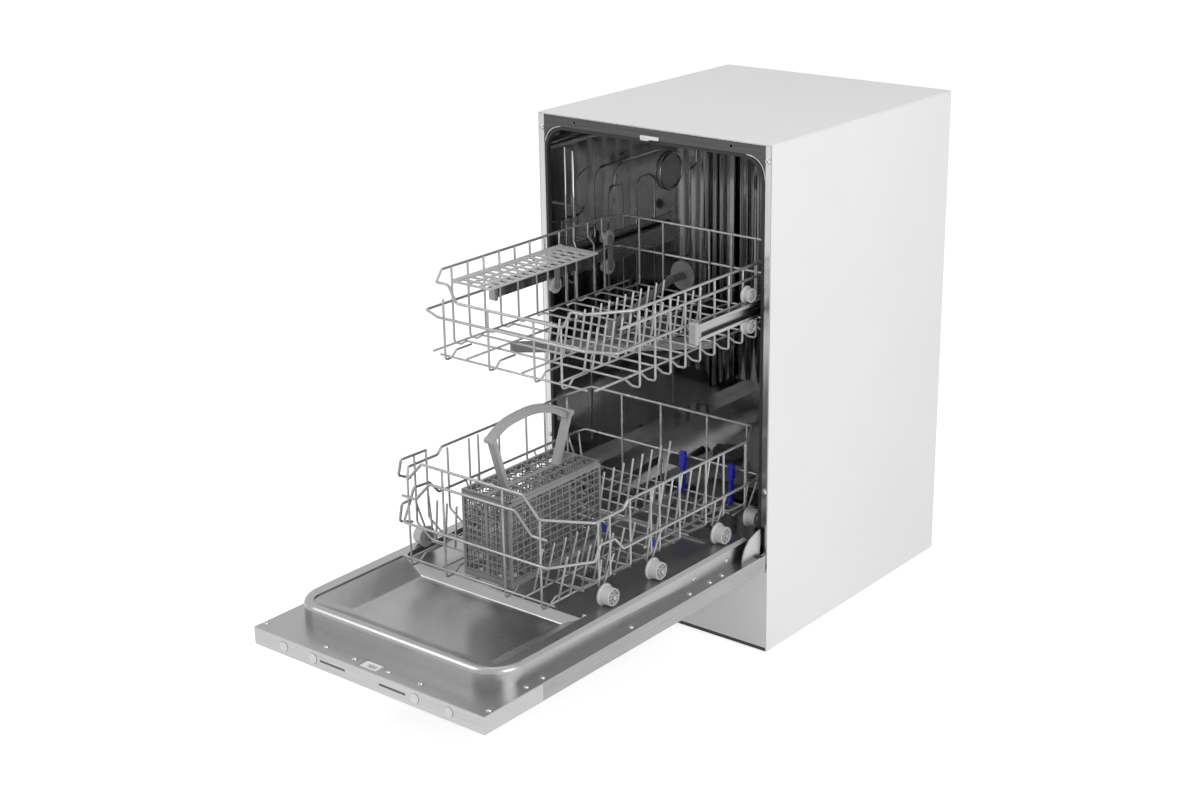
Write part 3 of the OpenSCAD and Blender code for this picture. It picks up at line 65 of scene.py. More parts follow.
# Camera and lamps. The angles are in degrees, the target and its distance in millimetres.

AZIMUTH = 39.2047
ELEVATION = 19.4081
ROLL = -0.9534
DISTANCE = 3204.513
TARGET = (-106.704, 0.081, 354.886)
FOCAL_PX = 1972.723
IMAGE_W = 1200
SENSOR = 36.0


def make_camera():
    az, el, roll = (math.radians(v) for v in (AZIMUTH, ELEVATION, ROLL))
    back = Vector((math.sin(az) * math.cos(el), -math.cos(az) * math.cos(el), math.sin(el)))
    right = (-back).cross(Vector((0, 0, 1))).normalized()
    up = right.cross(-back)
    level = Matrix((right * math.cos(roll) + up * math.sin(roll),
                    up * math.cos(roll) - right * math.sin(roll), back)).transposed()
    data = bpy.data.cameras.new("camera")
    data.sensor_width = SENSOR
    data.lens = FOCAL_PX / IMAGE_W * SENSOR
    data.clip_end = 50
    camera = bpy.data.objects.new("camera", data)
    camera.matrix_world = Matrix.Translation(at(*TARGET) + back * DISTANCE * MM) @ level.to_4x4()
    bpy.context.collection.objects.link(camera)
    bpy.context.scene.camera = camera


def area_light(name, place, aim, size, power):
    data = bpy.data.lights.new(name, "AREA")
    data.energy = power
    data.size = size
    lamp = bpy.data.objects.new(name, data)
    lamp.location = place
    lamp.rotation_euler = (Vector(aim) - Vector(place)).to_track_quat("-Z", "Y").to_euler()
    bpy.context.collection.objects.link(lamp)


make_camera()


# Materials

def new_material(name):
    mat = bpy.data.materials.new(name)
    mat.use_nodes = True
    tree = mat.node_tree
    shader = tree.nodes["Principled BSDF"]
    coords = tree.nodes.new("ShaderNodeTexCoord")
    return mat, tree, shader, coords.outputs["Object"]


def mapped(tree, coords, scale):
    node = tree.nodes.new("ShaderNodeMapping")
    node.inputs["Scale"].default_value = scale
    tree.links.new(coords, node.inputs["Vector"])
    return node.outputs["Vector"]


def noise(tree, vector, scale, detail=3.0, rough=0.5):
    node = tree.nodes.new("ShaderNodeTexNoise")
    node.inputs["Scale"].default_value = scale
    node.inputs["Detail"].default_value = detail
    node.inputs["Roughness"].default_value = rough
    tree.links.new(vector, node.inputs["Vector"])
    return node.outputs["Fac"]


def ramp(tree, fac, low, high, start=0.3, end=0.7):
    node = tree.nodes.new("ShaderNodeMapRange")
    node.inputs["From Min"].default_value = start
    node.inputs["From Max"].default_value = end
    node.inputs["To Min"].default_value = low
    node.inputs["To Max"].default_value = high
    tree.links.new(fac, node.inputs["Value"])
    return node.outputs["Result"]


def tint(tree, fac, low, high, start=0.3, end=0.7):
    node = tree.nodes.new("ShaderNodeValToRGB")
    node.color_ramp.elements[0].position = start
    node.color_ramp.elements[1].position = end
    node.color_ramp.elements[0].color = (*low, 1)
    node.color_ramp.elements[1].color = (*high, 1)
    tree.links.new(fac, node.inputs["Fac"])
    return node.outputs["Color"]


def bump(tree, shader, height, strength, distance, after=None):
    node = tree.nodes.new("ShaderNodeBump")
    node.inputs["Strength"].default_value = strength
    node.inputs["Distance"].default_value = distance
    tree.links.new(height, node.inputs["Height"])
    if after:
        tree.links.new(after, node.inputs["Normal"])
    tree.links.new(node.outputs["Normal"], shader.inputs["Normal"])
    return node.outputs["Normal"]


def metal(name, dark, light, rough, grain=(1, 1, 1), grain_scale=300, waves=0.0, wave_scale=5,
          scratch=0.15):
    """Sheet steel: streaks of the rolling, a roughness that follows them, and waves of the pressing."""
    mat, tree, shader, coords = new_material(name)
    shader.inputs["Metallic"].default_value = 1.0
    streaks = noise(tree, mapped(tree, coords, grain), grain_scale, 4.0, 0.65)
    tree.links.new(tint(tree, streaks, dark, light), shader.inputs["Base Color"])
    clouds = noise(tree, coords, 9, 2.0)
    both = tree.nodes.new("ShaderNodeMath")
    both.operation = "MULTIPLY"
    tree.links.new(ramp(tree, streaks, rough * (1 - scratch), rough * (1 + scratch)), both.inputs[0])
    tree.links.new(ramp(tree, clouds, 0.9, 1.1), both.inputs[1])
    tree.links.new(both.outputs[0], shader.inputs["Roughness"])
    normal = bump(tree, shader, streaks, 0.08, 0.0001)
    if waves:
        bump(tree, shader, noise(tree, coords, wave_scale, 1.0), waves, 0.01, normal)
    return mat


def plastic(name, dark, light, rough, grain=1400, depth=0.12, coat=0.0, metallic=0.0):
    """Moulded plastic or a coat of it: a faint cloud of colour, a grain, and a roughness that drifts."""
    mat, tree, shader, coords = new_material(name)
    shader.inputs["Metallic"].default_value = metallic
    shader.inputs["Coat Weight"].default_value = coat
    shader.inputs["Coat Roughness"].default_value = 0.15
    clouds = noise(tree, coords, 25, 4.0, 0.6)
    tree.links.new(tint(tree, clouds, dark, light), shader.inputs["Base Color"])
    tree.links.new(ramp(tree, clouds, rough * 0.85, rough * 1.15), shader.inputs["Roughness"])
    bump(tree, shader, noise(tree, coords, grain, 2.0), depth, 0.0001)
    return mat


def paint(name, dark, light, rough):
    """Baked enamel: orange peel under a thin gloss."""
    mat, tree, shader, coords = new_material(name)
    shader.inputs["Coat Weight"].default_value = 0.08
    shader.inputs["Coat Roughness"].default_value = 0.35
    shader.inputs["Specular IOR Level"].default_value = 0.35
    clouds = noise(tree, coords, 3, 3.0)
    tree.links.new(tint(tree, clouds, dark, light), shader.inputs["Base Color"])
    tree.links.new(ramp(tree, clouds, rough * 0.9, rough * 1.1), shader.inputs["Roughness"])
    bump(tree, shader, noise(tree, coords, 260, 2.0), 0.05, 0.0002)
    return mat


def zinc(name):
    """Galvanised sheet with its spangle."""
    mat, tree, shader, coords = new_material(name)
    shader.inputs["Metallic"].default_value = 1.0
    cells = tree.nodes.new("ShaderNodeTexVoronoi")
    cells.inputs["Scale"].default_value = 110
    tree.links.new(coords, cells.inputs["Vector"])
    split = tree.nodes.new("ShaderNodeSeparateColor")
    tree.links.new(cells.outputs["Color"], split.inputs["Color"])
    tree.links.new(tint(tree, split.outputs[0], (0.42, 0.43, 0.44), (0.6, 0.61, 0.62), 0.0, 1.0),
                   shader.inputs["Base Color"])
    tree.links.new(ramp(tree, split.outputs[1], 0.35, 0.5, 0.0, 1.0), shader.inputs["Roughness"])
    bump(tree, shader, noise(tree, coords, 500, 2.0), 0.06, 0.0001)
    return mat


def grey(v):
    return (v, v, v * 1.01)


MATS = {
    "white_paint": paint("white_enamel", grey(0.82), grey(0.86), 0.58),
    "steel": metal("brushed_steel", grey(0.40), grey(0.52), 0.36, (0.02, 1, 1), 420, 0.03, 4),
    "bright_steel": metal("bright_steel", grey(0.48), grey(0.60), 0.24, (1, 1, 0.03), 300, 0.03, 5),
    "galvanised": zinc("galvanised_sheet"),
    "wire_coat": plastic("wire_coat", grey(0.32), grey(0.39), 0.26, 900, 0.05, 0.5, 0.45),
    "grey_plastic": plastic("grey_plastic", grey(0.15), grey(0.19), 0.45, 1500, 0.14),
    "dark_plastic": plastic("dark_plastic", grey(0.018), grey(0.03), 0.5, 1300, 0.15),
    "light_plastic": plastic("light_plastic", grey(0.50), grey(0.56), 0.38, 1500, 0.08, 0.2),
    "white_plastic": plastic("white_plastic", grey(0.80), grey(0.85), 0.3, 1600, 0.06, 0.3),
    "blue_plastic": plastic("blue_plastic", (0.02, 0.02, 0.42), (0.03, 0.03, 0.56), 0.32, 1500, 0.07, 0.3),
    "window": plastic("window_black", grey(0.006), grey(0.01), 0.12, 600, 0.02, 0.6),
    "rubber": plastic("rubber", grey(0.012), grey(0.02), 0.65, 1100, 0.2),
    "button_face": metal("button_face", grey(0.44), grey(0.54), 0.32, (0.02, 1, 1), 420, 0.0, 4),
}
EXTRA = {
    "door_skin": metal("door_skin", grey(0.28), grey(0.38), 0.42, (1, 0.02, 1), 420, 0.02, 4),
    "fascia_skin": metal("fascia_skin", grey(0.40), grey(0.50), 0.40, (0.02, 1, 1), 420, 0.02, 4),
    "screw": metal("screw_zinc", grey(0.50), grey(0.62), 0.22, (1, 1, 1), 600, 0.0, 4),
    "basket": plastic("basket_grey", grey(0.21), grey(0.26), 0.38, 1500, 0.12),
    # The handle is the basket's grey plastic made lighter: painted highlight for the light its ribbed arch
    # catches.
    "handle": plastic("handle_grey_painted_highlight", grey(0.33), grey(0.38), 0.36, 1500, 0.12),
    "cap": plastic("cap_grey", grey(0.36), grey(0.42), 0.36, 1500, 0.1),
    # The polished trim's near-black base colour is a painted dark reflection; bare polished steel is far
    # lighter.
    "trim": metal("trim_steel_painted_dark_reflection", grey(0.07), grey(0.11), 0.14, (0.02, 1, 1), 300, 0.03, 4),
    # The tub's walls and floor are darker than bare stainless steel: painted shade for the dark reflections
    # inside the tub.
    "tub": metal("tub_steel_painted_shade", grey(0.36), grey(0.44), 0.07, (1, 1, 0.015), 60, 0.12, 6, 0.1),
    "tub_floor": metal("tub_floor_steel_painted_shade", grey(0.36), grey(0.46), 0.13, (1, 0.04, 1), 160, 0.1, 7, 0.1),
    "liner": metal("liner_steel", grey(0.35), grey(0.39), 0.31, (0.02, 1, 1), 260, 0.02, 4, 0.06),
    "rail_steel": metal("rail_steel", grey(0.34), grey(0.44), 0.26, (1, 0.02, 1), 400, 0.0, 4),
}
NODE_MATS = {
    "door_outer_panel": EXTRA["door_skin"],
    "control_fascia": EXTRA["fascia_skin"],
    "cutlery_basket": EXTRA["basket"],
    "upper_rails": EXTRA["rail_steel"],
    "rail_guides": EXTRA["rail_steel"],
    "rail_end_caps": EXTRA["cap"],
    "tub_wrap": EXTRA["tub"],
    "tub_back": EXTRA["tub"],
    "tub_floor": EXTRA["tub_floor"],
    "door_liner": EXTRA["liner"],
}
SLOT_OF = {part["node"]: part["material_slot"] for part in frame["record"]["subparts"]}


def dress_nodes():
    for name, obj in frame["nodes"].items():
        mat = NODE_MATS.get(name, MATS[SLOT_OF[name]])
        if not obj.material_slots:
            obj.data.materials.append(mat)
        for slot in obj.material_slots:
            slot.material = mat


dress_nodes()

# Edge radii of the folded and moulded pieces that keep the CAD's own mesh, in millimetres
EDGE_RADII = {
    "control_fascia": 0.25, "door_outer_panel": 0.8, "front_frame": 0.4, "left_side_panel": 0.7,
    "right_side_panel": 0.7, "top_panel": 0.7, "kick_plate": 0.6, "dispenser_body": 1.2, "dispenser_lid": 0.8,
    "rail_end_caps": 2.6, "door_latch": 0.7, "latch_strike": 0.8, "button_power": 0.4, "button_program": 0.4,
    "button_option": 0.4, "button_start": 0.4, "cup_shelf": 0.7, "tub_floor": 0.7,
    "salt_cap": 0.9, "hinge_arms": 0.4, "rail_guides": 0.5, "upper_rails": 0.4, "lower_spray_arm": 1.2,
    "upper_spray_arm": 1.2, "tine_clips": 0.7, "back_panel": 0.4, "base_tray": 0.8, "tub_back": 1.0,
}


def round_edges():
    for node, radius in EDGE_RADII.items():
        obj = frame["nodes"][node]
        weld = obj.modifiers.new("weld", "WELD")
        weld.merge_threshold = 0.00002
        mod = obj.modifiers.new("edges", "BEVEL")
        mod.width = radius * MM
        mod.segments = 3
        mod.limit_method = "ANGLE"
        mod.angle_limit = math.radians(24)
        mod.miter_outer = "MITER_ARC"
        mod.harden_normals = True


round_edges()


# Mesh tools

ROD_SIDES = 12
BEND_STEPS = 5
# The rounded end of a wire: how far out each ring lies and how wide it is, as shares of the radius
ROD_END = ((0.42, 0.75), (0.6, 0.3))
BOX_FACES = ((0, 1, 3, 2), (4, 6, 7, 5), (0, 4, 5, 1), (2, 3, 7, 6), (0, 2, 6, 4), (1, 5, 7, 3))


def turns(n):
    """The angles of n equal steps round a circle."""
    return [2 * math.pi * k / n for k in range(n)]


def axes(axis):
    """An axis and two directions square to it, all of unit length."""
    axis = Vector(axis).normalized()
    u = axis.orthogonal().normalized()
    return axis, u, axis.cross(u)


def skin(bm, low, high):
    """A band of faces between two loops of vertices."""
    n = len(low)
    for k in range(n):
        j = (k + 1) % n
        bm.faces.new((low[k], low[j], high[j], high[k]))


def box(bm, corners):
    """The six faces of a box whose eight corners count up along its three sides."""
    for face in BOX_FACES:
        bm.faces.new([corners[i] for i in face])


def filleted(points, radius, closed):
    """The points of a bent wire, with an arc in place of each corner."""
    n = len(points)
    out = []
    for i, p in enumerate(points):
        if not closed and i in (0, n - 1):
            out.append(p.copy())
            continue
        a = points[i - 1] - p
        b = points[(i + 1) % n] - p
        angle = a.angle(b)
        if angle > math.pi - 0.02:
            out.append(p.copy())
            continue
        cut = min(radius / math.tan(angle / 2), a.length * 0.49, b.length * 0.49)
        r = cut * math.tan(angle / 2)
        a.normalize()
        b.normalize()
        centre = p + (a + b).normalized() * (r / math.sin(angle / 2))
        start = p + a * cut - centre
        end = p + b * cut - centre
        sweep = start.angle(end)
        axis = start.cross(end).normalized()
        for k in range(BEND_STEPS + 1):
            out.append(centre + Matrix.Rotation(sweep * k / BEND_STEPS, 3, axis) @ start)
    return out


def rod(bm, points, radius, bend=6.0, closed=False, sides=ROD_SIDES):
    """A round wire through points in millimetres, with arcs at its bends and rounded ends."""
    pts = filleted([at(*p) for p in points], bend * MM, closed)
    r = radius * MM
    n = len(pts)
    tangents = []
    for i in range(n):
        before = pts[i] - pts[i - 1] if closed or i else pts[1] - pts[0]
        after = pts[(i + 1) % n] - pts[i] if closed or i < n - 1 else pts[i] - pts[i - 1]
        tangents.append((before.normalized() + after.normalized()).normalized())
    normal = tangents[0].orthogonal().normalized()
    rings = []
    sizes = [(p, 1.0, i) for i, p in enumerate(pts)]
    if not closed:
        for out, scale in ROD_END:
            sizes.insert(0, (pts[0] - tangents[0] * r * out, scale, 0))
            sizes.append((pts[-1] + tangents[-1] * r * out, scale, n - 1))
    last = tangents[0]
    for centre, scale, i in sizes:
        t = tangents[i]
        normal = last.rotation_difference(t) @ normal
        normal = (normal - t * normal.dot(t)).normalized()
        side = t.cross(normal)
        last = t
        rings.append([bm.verts.new(centre + (normal * math.cos(a) + side * math.sin(a)) * r * scale)
                      for a in turns(sides)])
    if closed:
        # The last ring meets the first one with the least twist
        t = tangents[0]
        turned = last.rotation_difference(t) @ normal
        first = (rings[0][0].co - sizes[0][0]).normalized()
        angle = math.atan2(t.dot(turned.cross(first)), turned.dot(first))
        shift = round(angle / (2 * math.pi / sides)) % sides
        rings.append([rings[0][(k - shift) % sides] for k in range(sides)])
    for low, high in zip(rings, rings[1:]):
        skin(bm, low, high)
    if not closed:
        bm.faces.new(rings[0][::-1])
        bm.faces.new(rings[-1])


def lathe(bm, centre, axis, profile, sides=40):
    """A turned form: profile lists (distance along the axis, radius) in millimetres."""
    axis, u, v = axes(axis)
    origin = at(*centre)
    rings = []
    for along, radius in profile:
        base = origin + axis * along * MM
        if radius <= 0:
            rings.append([bm.verts.new(base)])
        else:
            rings.append([bm.verts.new(base + (u * math.cos(a) + v * math.sin(a)) * radius * MM)
                          for a in turns(sides)])
    for low, high in zip(rings, rings[1:]):
        if len(low) > 1 and len(high) > 1:
            skin(bm, low, high)
            continue
        for k in range(sides):
            j = (k + 1) % sides
            if len(low) == 1 and len(high) > 1:
                bm.faces.new((low[0], high[j], high[k]))
            elif len(low) > 1:
                bm.faces.new((low[k], low[j], high[0]))
    if len(rings[0]) > 1:
        bm.faces.new(rings[0][::-1])
    if len(rings[-1]) > 1:
        bm.faces.new(rings[-1])


def piece(name, bm, material, body, stands_for=(), sharp=35.0):
    """Closes a mesh into a smooth-shaded object that rides on a body."""
    bmesh.ops.recalc_face_normals(bm, faces=bm.faces)
    mesh = bpy.data.meshes.new(name)
    bm.to_mesh(mesh)
    bm.free()
    # Normals taken over from the CAD's mesh would hide the new radii
    taken_over = mesh.attributes.get("custom_normal")
    if taken_over:
        mesh.attributes.remove(taken_over)
    mesh.materials.append(material)
    obj = bpy.data.objects.new(name, mesh)
    bpy.context.collection.objects.link(obj)
    mesh.shade_smooth()
    mesh.set_sharp_from_angle(angle=math.radians(sharp))
    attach(obj, body)
    if stands_for:
        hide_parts(*stands_for)
    return obj


# Door liner, pressed from one sheet: the CAD's form with the press's real radii

LINER_HALF, LINER_END, LINER_CORNER = 203.0, -606.0, 52.0
LINER_SHEET, LINER_CHAMFER, WIDENED = 1.5, 3.0, 2.0
FLANGE_Z, RIM_Z, PLATEAU_Z, TROUGH_Z, BASIN_Z = 169.5, 201.0, 194.5, 190.5, 176.0
# Stretches along the door, from its free end to its hinge: where the plateau meets the basin, the trough
# across the plateau, and the line behind which the rim keeps its sharp edge
PLATEAU_EDGE = (-400, -386)
TROUGH = (-127, -58)
RIM_END = -30


def inset(x, y):
    """How far a point lies inside the raised form's outline."""
    cx, cy = abs(x) - (LINER_HALF - LINER_CORNER), (LINER_END + LINER_CORNER) - y
    if cx > 0 and cy > 0:
        return LINER_CORNER - math.hypot(cx, cy)
    return min(LINER_HALF - abs(x), y - LINER_END)


def draw_in(x, y, distance):
    """The point moved inwards from the outline, square to it."""
    cx, cy = abs(x) - (LINER_HALF - LINER_CORNER), (LINER_END + LINER_CORNER) - y
    if cx > 0 and cy > 0:
        length = math.hypot(cx, cy)
        return x - math.copysign(cx / length * distance, x), y + cy / length * distance
    if LINER_HALF - abs(x) < y - LINER_END:
        return x - math.copysign(distance, x), y
    return x, y + distance


def local(v):
    return v.co.x / MM, (v.co.y - FRONT_Y) / MM, v.co.z / MM


def near(value, target, slack=0.25):
    return abs(value - target) < slack


def within(value, ends):
    return ends[0] < value < ends[1]


def folds(bm, test):
    """Sharp edges whose two ends pass a test on (x, y, z, inset)."""
    found = []
    for e in bm.edges:
        if len(e.link_faces) == 2 and e.calc_face_angle(0) > math.radians(15):
            ends = [local(v) for v in e.verts]
            if all(test(x, y, z, inset(x, y)) for x, y, z in ends):
                found.append(e)
    return found


def press_radius(bm, test, radius, segments):
    edges = folds(bm, test)
    if edges:
        bmesh.ops.bevel(bm, geom=edges, offset=radius * MM, offset_type="OFFSET", segments=segments,
                        profile=0.5, affect="EDGES", clamp_overlap=False)


def door_liner():
    bm = bmesh.new()
    node = frame["nodes"]["door_liner"]
    bm.from_mesh(node.data)
    bm.transform(node.matrix_world)
    bmesh.ops.remove_doubles(bm, verts=bm.verts, dist=0.02 * MM)
    raised = [v for v in bm.verts if local(v)[2] > FLANGE_Z + 0.4]
    risen = set(raised)
    edges = [e for e in bm.edges if e.verts[0] in risen and e.verts[1] in risen]
    bmesh.ops.dissolve_limit(bm, angle_limit=math.radians(0.5), verts=raised, edges=edges, delimit=set())
    # The top edge's chamfer is widened before it is rounded, on both skins
    shoulder = RIM_Z - LINER_CHAMFER
    for v in bm.verts:
        x, y, z = local(v)
        deep = inset(x, y)
        for sheet in (0, LINER_SHEET):
            if near(z, shoulder - sheet) and near(deep, sheet):
                v.co.z -= WIDENED * MM
            elif near(z, RIM_Z - sheet) and near(deep, LINER_CHAMFER + sheet):
                nx, ny = draw_in(x, y, WIDENED)
                v.co.x, v.co.y = nx * MM, FRONT_Y + ny * MM
    drawn = LINER_CHAMFER + WIDENED
    press_radius(bm, lambda x, y, z, d: near(z, shoulder - WIDENED) and near(d, 0) and y < RIM_END, 2.6, 4)
    press_radius(bm, lambda x, y, z, d: near(z, RIM_Z) and near(d, drawn, 0.6) and y < RIM_END, 2.6, 4)
    press_radius(bm, lambda x, y, z, d: near(z, RIM_Z) and d > 11 and y < RIM_END, 1.6, 3)
    press_radius(bm, lambda x, y, z, d: near(z, BASIN_Z), 6.0, 4)
    press_radius(bm, lambda x, y, z, d: near(z, PLATEAU_Z) and within(y, PLATEAU_EDGE), 2.4, 3)
    press_radius(bm, lambda x, y, z, d: near(z, TROUGH_Z) and within(y, TROUGH), 1.4, 2)
    press_radius(bm, lambda x, y, z, d: near(z, PLATEAU_Z) and within(y, TROUGH) and abs(x) < 156, 1.4, 2)
    obj = piece("liner_pressing", bm, EXTRA["liner"], "cabinet", ("door_liner",), sharp=28)
    normals = obj.modifiers.new("normals", "WEIGHTED_NORMAL")
    normals.keep_sharp = True


door_liner()


# Racks of bent wire. The places are those of the CAD's wires.

RIM_R = 2.2
WIRE_R = 1.7
# Wires that are welded together sink into each other by a fifth
WELD = (RIM_R + WIRE_R) * 0.8
LAP = 2 * WIRE_R * 0.8
TINE_TOP = 62
HALF = 182.0
PITCH = 36.0
CUT_X = 42.0
CUT_Y = 56.0


def other_side(path):
    return [(-x, y, z) for x, y, z in reversed(path)]


def ring(path):
    return path + other_side(path)


def rim_path(yf, yr, cut_x, cut_y, rear, z):
    return [(HALF - cut_x, yf, z), (HALF, yf + cut_y, z), (HALF, yr - rear, z), (HALF - rear / 2, yr, z)]


UPPER_YF, UPPER_YR = -334.0, 142.0
UPPER_FLOOR = 514.0
UPPER_TOP = 626.0
UPPER_MID = UPPER_FLOOR + (UPPER_TOP - UPPER_FLOOR) * 0.52
UPPER_DIP = 26.0
UPPER_ROWS = int((UPPER_YR - UPPER_YF - CUT_X - CUT_Y) // PITCH)
UPPER_LOOP = 7.0
# The wires nearest the rack's back step inwards on their way down the left wall
STEPPED_WIRES = 7
ROLLER_Y = (-10, 128)
ROLLER_Z = (538.0, 586.0)
PLATE_X = 184.0
ROLLER_PIN = [(0, 0), (0, 2.4), (15.0, 2.4), (15.0, 3.9), (16.0, 3.2), (16.3, 0)]


def upper_y(k):
    return UPPER_YR - CUT_X - k * PITCH


def roller_plate(bm, s, y):
    """A pressed plate on the wall's wires, with a round pad and a headed pin for each roller."""
    r = 6.5
    outline = []
    for z, start in ((ROLLER_Z[1], 0), (ROLLER_Z[0], 180)):
        for a in range(0, 181, 15):
            angle = math.radians(start + a)
            outline.append((y + r * math.cos(angle), z + r * math.sin(angle)))
    inner, outer = ([bm.verts.new(at(s * x, yy, zz)) for yy, zz in outline] for x in (PLATE_X - 1.6, PLATE_X))
    skin(bm, inner, outer)
    bm.faces.new(inner)
    bm.faces.new(outer)
    for z in ROLLER_Z:
        lathe(bm, (s * (PLATE_X - 0.2), y, z), (s, 0, 0), ROLLER_PIN, 24)


def upper_rack():
    walls = bmesh.new()
    zt = UPPER_TOP
    dip = [(102, UPPER_YF, zt - UPPER_DIP), (116, UPPER_YF, zt)]
    rod(walls, ring(dip + rim_path(UPPER_YF, UPPER_YR, CUT_X, CUT_Y, CUT_X, zt)), RIM_R, 9, True)
    rod(walls, ring(rim_path(UPPER_YF, UPPER_YR, CUT_X, CUT_Y / 3, CUT_Y / 5, UPPER_MID)), RIM_R, 9, True)
    second = zt - 20
    rod(walls, [(HALF, UPPER_YF + CUT_Y / 2, second), (HALF, UPPER_YR, second)], RIM_R)
    side = HALF - WELD
    floor = bmesh.new()
    low = UPPER_FLOOR - UPPER_LOOP
    for k in range(UPPER_ROWS + 1):
        y = upper_y(k)
        # One wire runs down a wall, under the lengthwise wires and up the other wall
        jog = 9 if k % 2 else 0
        left = [(-side, y, zt)]
        if k < STEPPED_WIRES:
            left += [(-side, y, zt - 22), (-side + 5, y + jog, zt - 36), (-side + 5, y + jog, low)]
        else:
            left.append((-side, y, low))
        across = [(-side + 14, y, low), (-side + 26, y, UPPER_FLOOR),
                  (side - 26, y, UPPER_FLOOR), (side - 14, y, low)]
        rod(walls, left + across + [(side, y, low), (side, y, zt)], WIRE_R, 5)
    front, rear = UPPER_YF + WELD, UPPER_YR - WELD
    lift = UPPER_FLOOR + 2.7
    crossing = UPPER_FLOOR + LAP
    for share in (-0.72, -0.24, 0.24, 0.52):
        x = share * HALF
        rod(walls, [(x, front, zt - UPPER_DIP), (x, front, low), (x, front + 14, low), (x, front + 24, lift),
                    (x, UPPER_YF + 60, lift)], WIRE_R, 5)
    for share in (-0.72, -0.45, 0.06, 0.3, 0.55):
        x = share * HALF
        rod(walls, [(x, rear, zt), (x, rear, UPPER_FLOOR), (x, UPPER_YR - 40, lift)], WIRE_R, 5)
    for y in (front, rear):
        rod(floor, [(-HALF + CUT_X, y, UPPER_FLOOR), (HALF - CUT_X, y, UPPER_FLOOR)], WIRE_R)
    for share in (-0.85, -0.48, 0.11, 0.5, 0.85):
        x = share * HALF
        rod(floor, [(x, front, crossing), (x, rear, crossing)], WIRE_R)
    for share in (0.11, 0.5):
        x = share * HALF
        for k in range(15):
            y = UPPER_YF + CUT_Y + k * 19.4
            rod(floor, [(x, y, crossing), (x, y + 14, UPPER_FLOOR + TINE_TOP)], WIRE_R)
    for s in (-1, 1):
        for y in ROLLER_Y:
            roller_plate(walls, s, y)
    piece("upper_wires_floor", floor, MATS["wire_coat"], "upper_rack", ("upper_rack_floor",))
    piece("upper_wires", walls, MATS["wire_coat"], "upper_rack", ("upper_rack_walls",))


upper_rack()

LOWER_YF, LOWER_YR = -426.0, 44.0
LOWER_FLOOR = 219.0
LOWER_TOP = 347.0
TUCK = 30.0
SIDE_ROWS = (-359, -333, -286, -237, -216, -167, -101, -55, 2)
LOW_LOOP = 12.0
WHEEL_Y = (-343, -230, -66, 20)
WHEEL_X0 = 173.5
WHEEL_Z = 215.3
AXLE = [(0, 0), (0, 5), (4.5, 5.5), (5.4, 3), (5.4, 2.4), (25.9, 2.4), (25.9, 4.1), (27.6, 3.4), (27.9, 0)]


